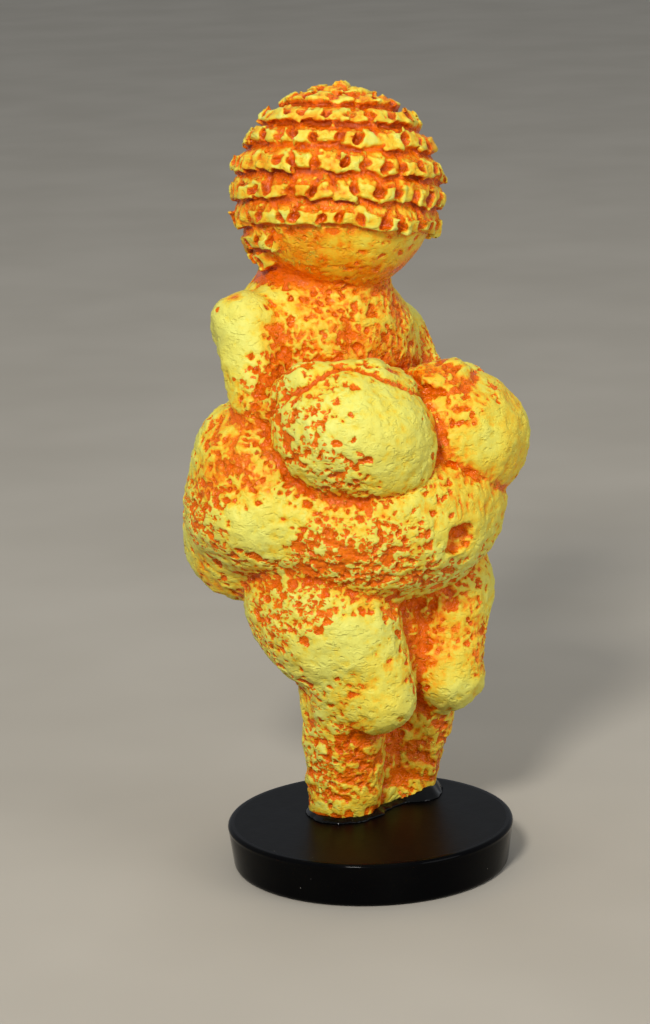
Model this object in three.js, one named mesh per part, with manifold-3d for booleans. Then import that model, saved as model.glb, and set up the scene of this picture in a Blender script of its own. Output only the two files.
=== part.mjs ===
// A small cast-resin venus figurine standing off centre on a round disc.
// Units are millimetres, +Z is up, the origin is the middle of the disc's underside.
// The figure faces -Y and its left side is towards +X.

import * as THREE from 'three';
import { mergeVertices } from 'three/addons/utils/BufferGeometryUtils.js';
import Module from 'manifold-3d';

// ---------------------------------------------------------------- sizes
const DISC_R = 27.75;            // radius of the disc at its top
const DISC_FOOT_R = 26.6;        // radius at the underside: the side draws in slightly
const DISC_H = 8.7;              // thickness of the disc
const STAND_X = 7.5;             // where the figure's own axis stands on the disc
const STAND_Y = 8.4;
const HEAD_Z = 129;              // middle of the head above the table
const HEAD_R = 18.75;            // radius of the bare head
const CHEST_LEAN = 0.15;         // the chest leans: lower on the figure's left side
const ARM_LEAN = 0.19;           // and the shoulders and upper arms a little more
const CELL = 1.15;               // sampling step of the figure's surface
const FIGURE_TRIANGLES = 8200;   // facets kept on the figure
const GLUE_GAP = 0.3;            // clearance between the glue bead and the legs
const GLUE_W = 2.3;              // width of the glue bead
const GLUE_H = 1.1;              // height of the glue bead

// cap of ruffled rows: polar angle of each row's crest, in degrees from the crown
const CAP_AXIS = [0.19, 0.08, 1];
const CAP_ROWS = [16, 31, 46.5, 62, 77.3, 92.5, 107.8];
const NAPE_ROWS = [{ at: 122, half: 96 }, { at: 134, half: 80 }];
const RUFFLE = 4.3;              // width of one ruffle along a row
const RUFFLE_OUT = 1.45;         // how far a ruffle's crest stands off the head

// ---------------------------------------------------------------- distance fields
const { sqrt, abs, min, max, sin, cos, PI, hypot, acos, atan2, round } = Math;
const rad = (a) => a * PI / 180;

// ellipsoid, turned by `tilt` degrees about X
const ellipsoid = (c, r, tilt = 0) => {
  const ct = cos(rad(tilt)), st = sin(rad(tilt));
  return (x, y, z) => {
    x -= c[0]; y -= c[1]; z -= c[2];
    const a = x / r[0], b = (y * ct + z * st) / r[1], d = (z * ct - y * st) / r[2];
    const k0 = hypot(a, b, d), k1 = hypot(a / r[0], b / r[1], d / r[2]);
    return k1 < 1e-9 ? -min(r[0], r[1], r[2]) : k0 * (k0 - 1) / k1;
  };
};

// round cone: a limb from a to b whose radius runs from r1 to r2
const limb = (a, b, r1, r2) => {
  const ba = [b[0] - a[0], b[1] - a[1], b[2] - a[2]];
  const l2 = ba[0] ** 2 + ba[1] ** 2 + ba[2] ** 2, rr = r1 - r2, a2 = l2 - rr * rr, il2 = 1 / l2;
  return (x, y, z) => {
    x -= a[0]; y -= a[1]; z -= a[2];
    const h = x * ba[0] + y * ba[1] + z * ba[2], g = h - l2;
    const x2 = (x * l2 - ba[0] * h) ** 2 + (y * l2 - ba[1] * h) ** 2 + (z * l2 - ba[2] * h) ** 2;
    const h2 = h * h * l2, g2 = g * g * l2, k = Math.sign(rr) * rr * rr * x2;
    if (Math.sign(g) * a2 * g2 > k) return sqrt(x2 + g2) * il2 - r2;
    if (Math.sign(h) * a2 * h2 < k) return sqrt(x2 + h2) * il2 - r1;
    return (sqrt(x2 * a2 * il2) + h * rr) * il2 - r1;
  };
};

// soft union and soft cut over a blend width k
const blend = (a, b, k) => {
  const h = max(0, min(1, 0.5 + 0.5 * (b - a) / k));
  return b + (a - b) * h - k * h * (1 - h);
};
const carve = (a, b, k) => -blend(-a, b, k);

// ---------------------------------------------------------------- the figure
const chest = ellipsoid([0, 7.2, 97.5], [20.5, 13.6, 15.5]);
const hips = ellipsoid([0, 5, 72], [35.4, 22.8, 18.6]);
const flank = ellipsoid([18.5, 5, 80.5], [14.8, 14.5, 12]);
const belly = ellipsoid([0, -6.5, 68.5], [27, 20.5, 17.5]);
const neck = limb([0, 7, 118], [0, 8, 104], 10.6, 14);
const shoulder = limb([6, 8.2, 105.8], [14.8, 8.2, 100.2], 8.8, 8);
const upperArm = limb([19.9, 8.2, 101.4], [23.3, 2.0, 86.2], 6.8, 5.2);
const buttock = ellipsoid([14.2, 14, 63.6], [14.6, 12.8, 13.2]);
const breast = ellipsoid([12.8, -11.9, 83.6], [16.5, 15, 13.6], -10);
const foreArm = limb([23.2, 1.0, 86.6], [21.2, -8.8, 92.8], 4.9, 3.7);
const wrist = limb([21.2, -8.8, 92.8], [11, -15.4, 95.9], 3.7, 3.0);
const hand = ellipsoid([8.0, -16.2, 94.8], [6.6, 5.4, 2.3], 24);
const thigh = ellipsoid([13.4, -2.6, 51.8], [13.5, 14.6, 18], -27);
const knee = limb([11.4, -8.8, 48], [9.7, -12.9, 34.9], 9.2, 7.5);
const shin = limb([12.4, -7.6, 37], [10.2, -5.2, 23], 7.5, 5.0);
const calf = limb([9.3, -4, 34], [7.8, -1.2, 4], 9, 6.2);
const calfWeb = ellipsoid([0, -1, 22], [9, 6, 30]);
const thighWeb = ellipsoid([0, -3.5, 42], [8.5, 10.5, 17]);
// the navel, a small squarish hollow
const navel = (u, v, z) => ((abs(u - 0.3) / 3.6) ** 3.2 + (abs(v + 27.4) / 2.6) ** 3.2 + (abs(z - 65.6) / 3) ** 3.2) ** (1 / 3.2) * 2.5 - 2.5;
const cleft = limb([0, 31, 70], [0, 26, 50], 2.2, 3);
const blade = ellipsoid([9, 14.6, 98.5], [7.8, 7.4, 8.5]);

function body(u, v, z) {
  const w = abs(u), zs = z + CHEST_LEAN * u, za = z + ARM_LEAN * u;
  let d = chest(u, v, zs);
  d = blend(d, hips(u, v, z), 5);
  d = blend(d, flank(w, v, z), 3);
  d = blend(d, belly(u, v, z), 4);
  d = blend(d, neck(u, v, z), 5);
  d = blend(d, shoulder(w, v, za), 4);
  d = blend(d, upperArm(w, v, za), 1.3);
  d = blend(d, blade(w, v, zs), 2.5);
  d = blend(d, buttock(w, v, z), 4);
  d = carve(d, cleft(u, v, z), 3);
  d = blend(d, breast(w, v, zs), 0.9);
  let arm = blend(foreArm(w, v, zs), wrist(w, v, zs), 4);
  arm = blend(arm, hand(w, v, zs), 3.5);
  d = blend(d, arm, 0.6);
  d = blend(d, thigh(w, v, z), 1.6);
  d = blend(d, knee(w, v, z), 3);
  d = blend(d, shin(w, v, z), 2.5);
  d = blend(d, calf(w, v, z), 2);
  d = blend(d, calfWeb(u, v, z), 2.5);
  d = blend(d, thighWeb(u, v, z), 2.5);
  return carve(d, navel(u, v, z), 0.5);
}

// axes of the cap: K along the crown, I towards the figure's right, J to the front
const K = new THREE.Vector3(...CAP_AXIS).normalize();
const J = new THREE.Vector3(0, -1, 0).addScaledVector(K, K.y).normalize();
const I = new THREE.Vector3().crossVectors(J, K);
const CAP = [
  ...CAP_ROWS.map((at) => ({ at: rad(at), half: 999, n: round(2 * PI * HEAD_R * sin(rad(at)) / RUFFLE * 1.06) })),
  ...NAPE_ROWS.map(({ at, half }) => ({ at: rad(at), half: rad(half), n: round(2 * PI * HEAD_R * sin(rad(at)) / (0.9 * RUFFLE) * 1.06) })),
];

// a slanted ridge in section, from s0 under the skin out to its crest
function ridge(s, h, out, r1, r2) {
  const ax = -2.2, ay = -0.4, bx = 0.25, by = out;
  const dx = bx - ax, dy = by - ay, t = max(0, min(1, ((s - ax) * dx + (h - ay) * dy) / (dx * dx + dy * dy)));
  return hypot(s - ax - dx * t, h - ay - dy * t) - (r1 + (r2 - r1) * t);
}

function head(u, v, z) {
  const x = u, y = v - 3.4, w = z - HEAD_Z, rho = hypot(x, y, w);
  let d = rho - HEAD_R;
  if (abs(d) > 4 || rho < 1) return d;
  const c = (x * K.x + y * K.y + w * K.z) / rho, theta = acos(max(-1, min(1, c)));
  const phi = atan2(x * I.x + y * I.y + w * I.z, x * J.x + y * J.y + w * J.z);   // 0 at the front
  const fromBack = PI - abs(phi);
  d = blend(d, hypot(HEAD_R * theta, d + 0.3) - 1.3, 0.8);                        // button on the crown
  CAP.forEach(({ at, half, n }, i) => {
    const s = HEAD_R * (theta - at);
    if (abs(s) > 4 || fromBack > half + 0.1) return;
    const fade = half > PI ? 1 : max(0, min(1, (half - fromBack) / 0.25));
    const wave = min(1, 1.9 * abs(sin((phi + i * 0.7) * n / 2)));
    const out = (RUFFLE_OUT - 0.75 * (1 - wave)) * fade - 0.9 * (1 - fade);
    d = blend(d, ridge(s, rho - HEAD_R, out - 0.35, 0.9, 0.62), 0.5);
  });
  return d;
}

const figureField = (u, v, z) => blend(body(u, v, z), head(u, v, z), 1.5);

// ---------------------------------------------------------------- from field to mesh
// Six tetrahedra to each cell, all sharing the cell's long diagonal, so that the surface always closes.
const CORNERS = [[0, 0, 0], [1, 0, 0], [0, 1, 0], [1, 1, 0], [0, 0, 1], [1, 0, 1], [0, 1, 1], [1, 1, 1]];
const TETS = [[0, 1, 3, 7], [0, 3, 2, 7], [0, 2, 6, 7], [0, 6, 4, 7], [0, 4, 5, 7], [0, 5, 1, 7]];

function sampleSurface(field, lo, hi, step) {
  const n = lo.map((l, i) => Math.ceil((hi[i] - l) / step) + 1);
  const at = (i, j, k) => (k * n[1] + j) * n[0] + i;
  const f = new Float64Array(n[0] * n[1] * n[2]);
  for (let k = 0; k < n[2]; k++) for (let j = 0; j < n[1]; j++) for (let i = 0; i < n[0]; i++) {
    const d = field(lo[0] + i * step, lo[1] + j * step, lo[2] + k * step);
    f[at(i, j, k)] = k === 0 ? max(d, 0.5) : abs(d) < 1e-3 ? 1e-3 : d;      // closed across its lowest layer
  }
  const points = [], faces = [], seen = new Map();
  const where = (g) => { const i = g % n[0], q = (g - i) / n[0], j = q % n[1]; return [lo[0] + i * step, lo[1] + j * step, lo[2] + (q - j) / n[1] * step]; };
  const cross = (a, b) => {
    if (a > b) [a, b] = [b, a];
    const key = a * 16777216 + b;
    if (!seen.has(key)) {
      const t = max(0.08, min(0.92, f[a] / (f[a] - f[b]))), p = where(a), q = where(b);
      seen.set(key, points.length / 3);
      points.push(p[0] + (q[0] - p[0]) * t, p[1] + (q[1] - p[1]) * t, p[2] + (q[2] - p[2]) * t);
    }
    return seen.get(key);
  };
  for (let k = 0; k + 1 < n[2]; k++) for (let j = 0; j + 1 < n[1]; j++) for (let i = 0; i + 1 < n[0]; i++) {
    const g = CORNERS.map(([a, b, c]) => at(i + a, j + b, k + c));
    const count = g.reduce((m, q) => m + (f[q] < 0), 0);
    if (count === 0 || count === 8) continue;
    for (const tet of TETS) {
      const v = tet.map((q) => g[q]), ins = v.filter((q) => f[q] < 0), out = v.filter((q) => f[q] >= 0);
      if (!ins.length || !out.length) continue;
      let pairs;
      if (ins.length === 1) pairs = out.map((q) => [ins[0], q]);
      else if (out.length === 1) pairs = ins.map((q) => [q, out[0]]);
      else pairs = [[ins[0], out[0]], [ins[0], out[1]], [ins[1], out[1]], [ins[1], out[0]]];
      // the facet must face from the inside corners to the outside ones
      const P = pairs.slice(0, 3).map(([q, r]) => { const s = where(q), t = where(r); return [s[0] + t[0], s[1] + t[1], s[2] + t[2]]; }), A = where(ins[0]), B = where(out[0]);
      const e = [0, 1, 2].map((c) => P[1][c] - P[0][c]), m = [0, 1, 2].map((c) => P[2][c] - P[0][c]);
      const nx = e[1] * m[2] - e[2] * m[1], ny = e[2] * m[0] - e[0] * m[2], nz = e[0] * m[1] - e[1] * m[0];
      const polygon = pairs.map(([q, r]) => cross(q, r));
      if (nx * (B[0] - A[0]) + ny * (B[1] - A[1]) + nz * (B[2] - A[2]) < 0) polygon.reverse();
      faces.push([polygon[0], polygon[1], polygon[2]]);
      if (polygon.length === 4) faces.push([polygon[0], polygon[2], polygon[3]]);
    }
  }
  return { points: Float64Array.from(points), faces };
}

// Thins a closed mesh to about `target` triangles by collapsing the edges whose loss moves the surface least.
function thin({ points, faces }, target) {
  const nV = points.length / 3, Q = new Float64Array(nV * 10), live = faces.map(() => true);
  const around = Array.from({ length: nV }, () => new Set()), stamp = new Int32Array(nV), gone = new Uint8Array(nV);
  const normal = (a, b, c, o) => {
    const ux = points[b * 3] - points[a * 3], uy = points[b * 3 + 1] - points[a * 3 + 1], uz = points[b * 3 + 2] - points[a * 3 + 2];
    const vx = points[c * 3] - points[a * 3], vy = points[c * 3 + 1] - points[a * 3 + 1], vz = points[c * 3 + 2] - points[a * 3 + 2];
    o[0] = uy * vz - uz * vy; o[1] = uz * vx - ux * vz; o[2] = ux * vy - uy * vx;
    return hypot(o[0], o[1], o[2]);
  };
  const o = [0, 0, 0], p = [0, 0, 0];
  faces.forEach((f, i) => {
    const l = normal(f[0], f[1], f[2], o);
    f.forEach((q) => around[q].add(i));
    if (l < 1e-12) return;
    const [a, b, c] = o.map((q) => q / l), d = -(a * points[f[0] * 3] + b * points[f[0] * 3 + 1] + c * points[f[0] * 3 + 2]);
    const m = [a * a, a * b, a * c, a * d, b * b, b * c, b * d, c * c, c * d, d * d];
    for (const q of f) for (let k = 0; k < 10; k++) Q[q * 10 + k] += m[k] * l;
  });
  const cost = (q, x, y, z) => q[0] * x * x + 2 * q[1] * x * y + 2 * q[2] * x * z + 2 * q[3] * x + q[4] * y * y + 2 * q[5] * y * z + 2 * q[6] * y + q[7] * z * z + 2 * q[8] * z + q[9];
  const heap = [];
  const push = (e) => { let i = heap.push(e) - 1; while (i > 0) { const u = (i - 1) >> 1; if (heap[u].c <= e.c) break; heap[i] = heap[u]; i = u; } heap[i] = e; };
  const pop = () => {
    const top = heap[0], e = heap.pop(); if (!heap.length) return top;
    let i = 0; for (;;) { let c = 2 * i + 1; if (c >= heap.length) break; if (c + 1 < heap.length && heap[c + 1].c < heap[c].c) c++; if (heap[c].c >= e.c) break; heap[i] = heap[c]; i = c; }
    heap[i] = e; return top;
  };
  const q = new Float64Array(10);
  const offer = (a, b) => {
    for (let k = 0; k < 10; k++) q[k] = Q[a * 10 + k] + Q[b * 10 + k];
    const mx = (points[a * 3] + points[b * 3]) / 2, my = (points[a * 3 + 1] + points[b * 3 + 1]) / 2, mz = (points[a * 3 + 2] + points[b * 3 + 2]) / 2;
    // best place for the merged point, held softly near the middle of the edge
    const w = 1e-3 * (q[0] + q[4] + q[7]) + 1e-9;
    const A = [q[0] + w, q[1], q[2], q[4] + w, q[5], q[7] + w], B = [w * mx - q[3], w * my - q[6], w * mz - q[8]];
    const c0 = A[3] * A[5] - A[4] * A[4], c1 = A[2] * A[4] - A[1] * A[5], c2 = A[1] * A[4] - A[2] * A[3];
    const det = A[0] * c0 + A[1] * c1 + A[2] * c2;
    let x = mx, y = my, z = mz;
    if (abs(det) > 1e-18) {
      x = (B[0] * c0 + B[1] * c1 + B[2] * c2) / det;
      y = (B[0] * c1 + B[1] * (A[0] * A[5] - A[2] * A[2]) + B[2] * (A[1] * A[2] - A[0] * A[4])) / det;
      z = (B[0] * c2 + B[1] * (A[1] * A[2] - A[0] * A[4]) + B[2] * (A[0] * A[3] - A[1] * A[1])) / det;
      if (hypot(x - mx, y - my, z - mz) > 2.5) { x = mx; y = my; z = mz; }
    }
    const len = hypot(points[a * 3] - points[b * 3], points[a * 3 + 1] - points[b * 3 + 1], points[a * 3 + 2] - points[b * 3 + 2]);
    push({ c: max(0, cost(q, x, y, z)) + 2e-5 * len * len, a, b, x, y, z, s: stamp[a] + stamp[b] });
  };
  const ring = (a) => { const r = new Set(); for (const i of around[a]) for (const k of faces[i]) if (k !== a) r.add(k); return r; };
  for (const f of faces) for (let k = 0; k < 3; k++) if (f[k] < f[(k + 1) % 3]) offer(f[k], f[(k + 1) % 3]);
  let count = faces.length;
  while (count > target && heap.length) {
    const e = pop(), { a, b } = e;
    if (gone[a] || gone[b] || e.s !== stamp[a] + stamp[b]) continue;
    const ra = ring(a), rb = ring(b);
    let shared = 0; for (const k of ra) if (rb.has(k)) shared++;
    if (shared !== 2) continue;                                  // keeps the mesh one closed skin
    let ok = true;
    for (const [own, other] of [[a, b], [b, a]]) for (const i of around[own]) {
      const f = faces[i]; if (f.includes(other)) continue;
      const l0 = normal(f[0], f[1], f[2], o), keep = [points[own * 3], points[own * 3 + 1], points[own * 3 + 2]];
      points[own * 3] = e.x; points[own * 3 + 1] = e.y; points[own * 3 + 2] = e.z;
      const l1 = normal(f[0], f[1], f[2], p);
      points[own * 3] = keep[0]; points[own * 3 + 1] = keep[1]; points[own * 3 + 2] = keep[2];
      if (l1 < 1e-3 || o[0] * p[0] + o[1] * p[1] + o[2] * p[2] < 0.35 * l0 * l1) { ok = false; break; }
    }
    if (!ok) continue;
    points[a * 3] = e.x; points[a * 3 + 1] = e.y; points[a * 3 + 2] = e.z;
    for (let k = 0; k < 10; k++) Q[a * 10 + k] += Q[b * 10 + k];
    for (const i of around[b]) {
      const f = faces[i];
      if (f.includes(a)) { live[i] = false; count--; for (const k of f) if (k !== b) around[k].delete(i); }
      else { f[f.indexOf(b)] = a; around[a].add(i); }
    }
    around[b].clear(); gone[b] = 1; stamp[a]++;
    const r = ring(a);
    for (const k of r) stamp[k] += 0;
    for (const k of r) offer(a, k);
  }
  const id = new Map(), pos = [], tri = [];
  faces.forEach((f, i) => { if (live[i]) tri.push(...f.map((k) => { if (!id.has(k)) { id.set(k, id.size); pos.push(points[k * 3], points[k * 3 + 1], points[k * 3 + 2]); } return id.get(k); })); });
  return { pos, tri };
}

// ---------------------------------------------------------------- pieces
const wasm = await Module();
wasm.setup();
const solid = (pos, tri) => new wasm.Manifold(new wasm.Mesh({ numProp: 3, vertProperties: Float32Array.from(pos), triVerts: Uint32Array.from(tri) }));
const mesh3 = (m) => { const { vertProperties, triVerts } = m.getMesh(); return { points: Float64Array.from(vertProperties), faces: Array.from({ length: triVerts.length / 3 }, (_, i) => [...triVerts.slice(i * 3, i * 3 + 3)]) }; };
function geometry(pos, tri) {
  const g = new THREE.BufferGeometry();
  g.setAttribute('position', new THREE.Float32BufferAttribute(pos, 3));
  g.setIndex(tri);
  g.computeVertexNormals();
  return g;
}
function boxSolid(w, d, h, x, y, z) {
  const g = new THREE.BoxGeometry(w, d, h);
  g.deleteAttribute('normal'); g.deleteAttribute('uv');
  const b = mergeVertices(g).translate(x, y, z);
  return solid(b.attributes.position.array, b.index.array);
}

const group = new THREE.Group();
function add(name, geo, colour, roughness) {
  const mesh = new THREE.Mesh(geo, new THREE.MeshStandardMaterial({ color: colour, roughness, metalness: 0 }));
  mesh.name = name;
  group.add(mesh);
  return mesh;
}

// the figure, cast in one: its legs run down past the disc's top and are cut off flat there
const rough = sampleSurface(figureField, [-37.5, -29.5, DISC_H - 3.2], [37.5, 31, 151.5], CELL);
const stood = solid(rough.points, rough.faces.flat()).subtract(boxSolid(90, 90, 10, 0, 0, DISC_H - 5));
const cast = thin(mesh3(stood), FIGURE_TRIANGLES);
for (let i = 2; i < cast.pos.length; i += 3) if (cast.pos[i] < DISC_H + 0.05) cast.pos[i] = DISC_H;
add('figure', geometry(cast.pos, cast.tri), '#e4c93c', 0.55).position.set(STAND_X, STAND_Y, 0);

// the disc: a flat top with a small round edge, and a side that draws in towards the foot
const discProfile = [[0, 0], [DISC_FOOT_R - 0.8, 0], [DISC_FOOT_R - 0.2, 0.25], [DISC_FOOT_R + 0.1, 0.9], [DISC_R - 0.05, DISC_H - 0.6], [DISC_R - 0.15, DISC_H - 0.2], [DISC_R - 0.5, DISC_H], [0, DISC_H]];
const disc = new THREE.LatheGeometry(discProfile.map(([r, z]) => new THREE.Vector2(r, z)), 48);
disc.rotateX(PI / 2);
add('base_disc', disc, '#0d0c0d', 0.3);

// the bead of glue that runs round both legs
const BEAD_STEPS = 60;
const legEdge = (a) => {
  const inside = (r) => body(r * cos(a), r * sin(a), DISC_H + GLUE_H) < 0;
  let hi = 24; while (hi > 0.5 && !inside(hi)) hi -= 0.25;
  let lo = hi; hi += 0.25;
  for (let i = 0; i < 20; i++) { const m = (lo + hi) / 2; if (inside(m)) lo = m; else hi = m; }
  return lo;
};
const leg = Array.from({ length: BEAD_STEPS }, (_, i) => legEdge(2 * PI * i / BEAD_STEPS));
const near = (i, k) => leg[(i + k + BEAD_STEPS) % BEAD_STEPS];
const bead = [], beadFaces = [];
for (let i = 0; i < BEAD_STEPS; i++) {
  const a = 2 * PI * i / BEAD_STEPS;
  let soft = 0; for (let k = -5; k <= 5; k++) soft += near(i, k) / 11;
  const inner = max(near(i, -1), near(i, 0), near(i, 1)) + GLUE_GAP;
  const outer = max(soft, inner - 0.6) + GLUE_W * (1 + 0.22 * sin(3 * a + 1) + 0.14 * sin(7 * a + 2));
  const w = outer - inner;
  for (const [r, z] of [[inner, 0], [inner, GLUE_H], [inner + 0.45 * w, 0.85 * GLUE_H], [inner + 0.85 * w, 0.4 * GLUE_H], [outer, 0]])
    bead.push(STAND_X + r * cos(a), STAND_Y + r * sin(a), DISC_H + z);
  const n = 5, b = ((i + 1) % BEAD_STEPS) * n;
  for (let k = 0; k < n; k++) { const p = i * n + k, q = i * n + (k + 1) % n, r = b + k, t = b + (k + 1) % n; beadFaces.push(p, t, r, p, q, t); }
}
add('adhesive', geometry(bead, beadFaces), '#0a0909', 0.15);

export default group;
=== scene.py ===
import bpy, bmesh, math, time
import numpy as np
from mathutils import Matrix, Vector
from mathutils.kdtree import KDTree


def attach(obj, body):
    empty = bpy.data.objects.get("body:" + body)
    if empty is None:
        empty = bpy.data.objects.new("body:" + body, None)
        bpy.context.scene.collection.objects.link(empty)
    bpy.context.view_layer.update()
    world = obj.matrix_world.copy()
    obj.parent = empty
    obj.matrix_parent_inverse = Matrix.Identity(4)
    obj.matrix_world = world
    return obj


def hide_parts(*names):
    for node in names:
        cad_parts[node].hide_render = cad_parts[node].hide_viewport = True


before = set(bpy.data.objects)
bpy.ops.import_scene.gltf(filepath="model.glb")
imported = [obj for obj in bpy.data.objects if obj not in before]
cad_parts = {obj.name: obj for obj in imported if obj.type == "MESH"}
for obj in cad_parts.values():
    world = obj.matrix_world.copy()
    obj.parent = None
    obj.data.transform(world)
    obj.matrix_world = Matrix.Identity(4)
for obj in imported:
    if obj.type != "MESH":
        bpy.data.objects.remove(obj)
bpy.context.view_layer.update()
T0 = time.time()

# ------------------------------------------------------------------ sizes, in mm
F4 = np.float32
DISC_R, DISC_FOOT_R, DISC_H = 27.7, 26.7, 8.7
STAND_X, STAND_Y = 7.5, 8.4            # the figure's own axis on the disc
HEAD_C, HEAD_R = (0.0, 3.4, 129.0), 18.75
CHEST_LEAN, ARM_LEAN = 0.15, 0.19
CELL = 0.42                            # sampling step of the fine surface
MAX_TRIANGLES = 197000
CAP_AXIS = (0.19, 0.08, 1.0)
CAP_ROWS = [16, 31, 46.5, 62, 77.3, 92.5, 107.8]
NAPE_ROWS = [(122, 96), (134, 80)]
RUFFLE = 4.3


def rad(a):
    return a * math.pi / 180.0


# ------------------------------------------------------------------ noise
def _hash(ix, iy, iz, seed):
    h = (ix.astype(np.uint32) * np.uint32(0x9E3779B1)) ^ (iy.astype(np.uint32) * np.uint32(0x85EBCA77)) ^ (iz.astype(np.uint32) * np.uint32(0xC2B2AE3D)) ^ np.uint32((seed * 0x27D4EB2F) & 0xFFFFFFFF)
    h ^= h >> np.uint32(15)
    h *= np.uint32(0x2C1B3C6D)
    h ^= h >> np.uint32(12)
    h *= np.uint32(0x297A2D39)
    h ^= h >> np.uint32(15)
    return h


def noise(P, scale, seed):
    """Smooth value noise from -1 to 1. scale is the size of a lump in mm, one number or three."""
    q = P / np.asarray(scale, F4)
    f = np.floor(q)
    i = f.astype(np.int64)
    t = (q - f).astype(F4)
    t = t * t * t * (t * (t * 6 - 15) + 10)
    out = np.zeros(len(P), F4)
    for dx in (0, 1):
        wx = t[:, 0] if dx else 1 - t[:, 0]
        for dy in (0, 1):
            wy = t[:, 1] if dy else 1 - t[:, 1]
            for dz in (0, 1):
                wz = t[:, 2] if dz else 1 - t[:, 2]
                v = _hash(i[:, 0] + dx, i[:, 1] + dy, i[:, 2] + dz, seed).astype(F4) * F4(2.0 / 4294967295.0) - 1
                out += wx * wy * wz * v
    return out


def fbm(P, scale, seed, octaves=3):
    out = np.zeros(len(P), F4)
    a, s = 1.0, np.asarray(scale, F4)
    for o in range(octaves):
        out += a * noise(P, s, seed + 31 * o)
        a *= 0.5
        s = s * 0.5
    return out


def ramp(x, a, b):
    t = np.clip((x - a) / (b - a), 0, 1)
    return t * t * (3 - 2 * t)


# ------------------------------------------------------------------ distance fields, as in the solid model
def V(*a):
    return np.array(a, F4)


def ellipsoid(p, c, r, tilt=0.0):
    q = p - V(*c)
    if tilt:
        ct, st = F4(math.cos(rad(tilt))), F4(math.sin(rad(tilt)))
        q = np.stack([q[:, 0], q[:, 1] * ct + q[:, 2] * st, q[:, 2] * ct - q[:, 1] * st], 1)
    a = q / V(*r)
    k0 = np.sqrt((a * a).sum(1))
    b = a / V(*r)
    k1 = np.sqrt((b * b).sum(1))
    return k0 * (k0 - 1) / np.maximum(k1, 1e-6)


def limb(p, a, b, r1, r2):
    a, b = V(*a), V(*b)
    ba = b - a
    l2 = float(ba @ ba)
    rr = r1 - r2
    a2, il2 = l2 - rr * rr, 1 / l2
    pa = p - a
    y = pa @ ba
    z = y - l2
    w = pa * F4(l2) - ba * y[:, None]
    x2 = (w * w).sum(1)
    y2, z2 = y * y * l2, z * z * l2
    k = np.sign(rr) * rr * rr * x2
    d = (np.sqrt(x2 * a2 * il2) + y * rr) * il2 - r1
    d = np.where(np.sign(y) * a2 * y2 < k, np.sqrt(x2 + y2) * il2 - r1, d)
    return np.where(np.sign(z) * a2 * z2 > k, np.sqrt(x2 + z2) * il2 - r2, d).astype(F4)


def blend(a, b, k):
    h = np.clip(0.5 + 0.5 * (b - a) / k, 0, 1)
    return b + (a - b) * h - k * h * (1 - h)


def carve(a, b, k):
    return -blend(-a, b, k)


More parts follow.
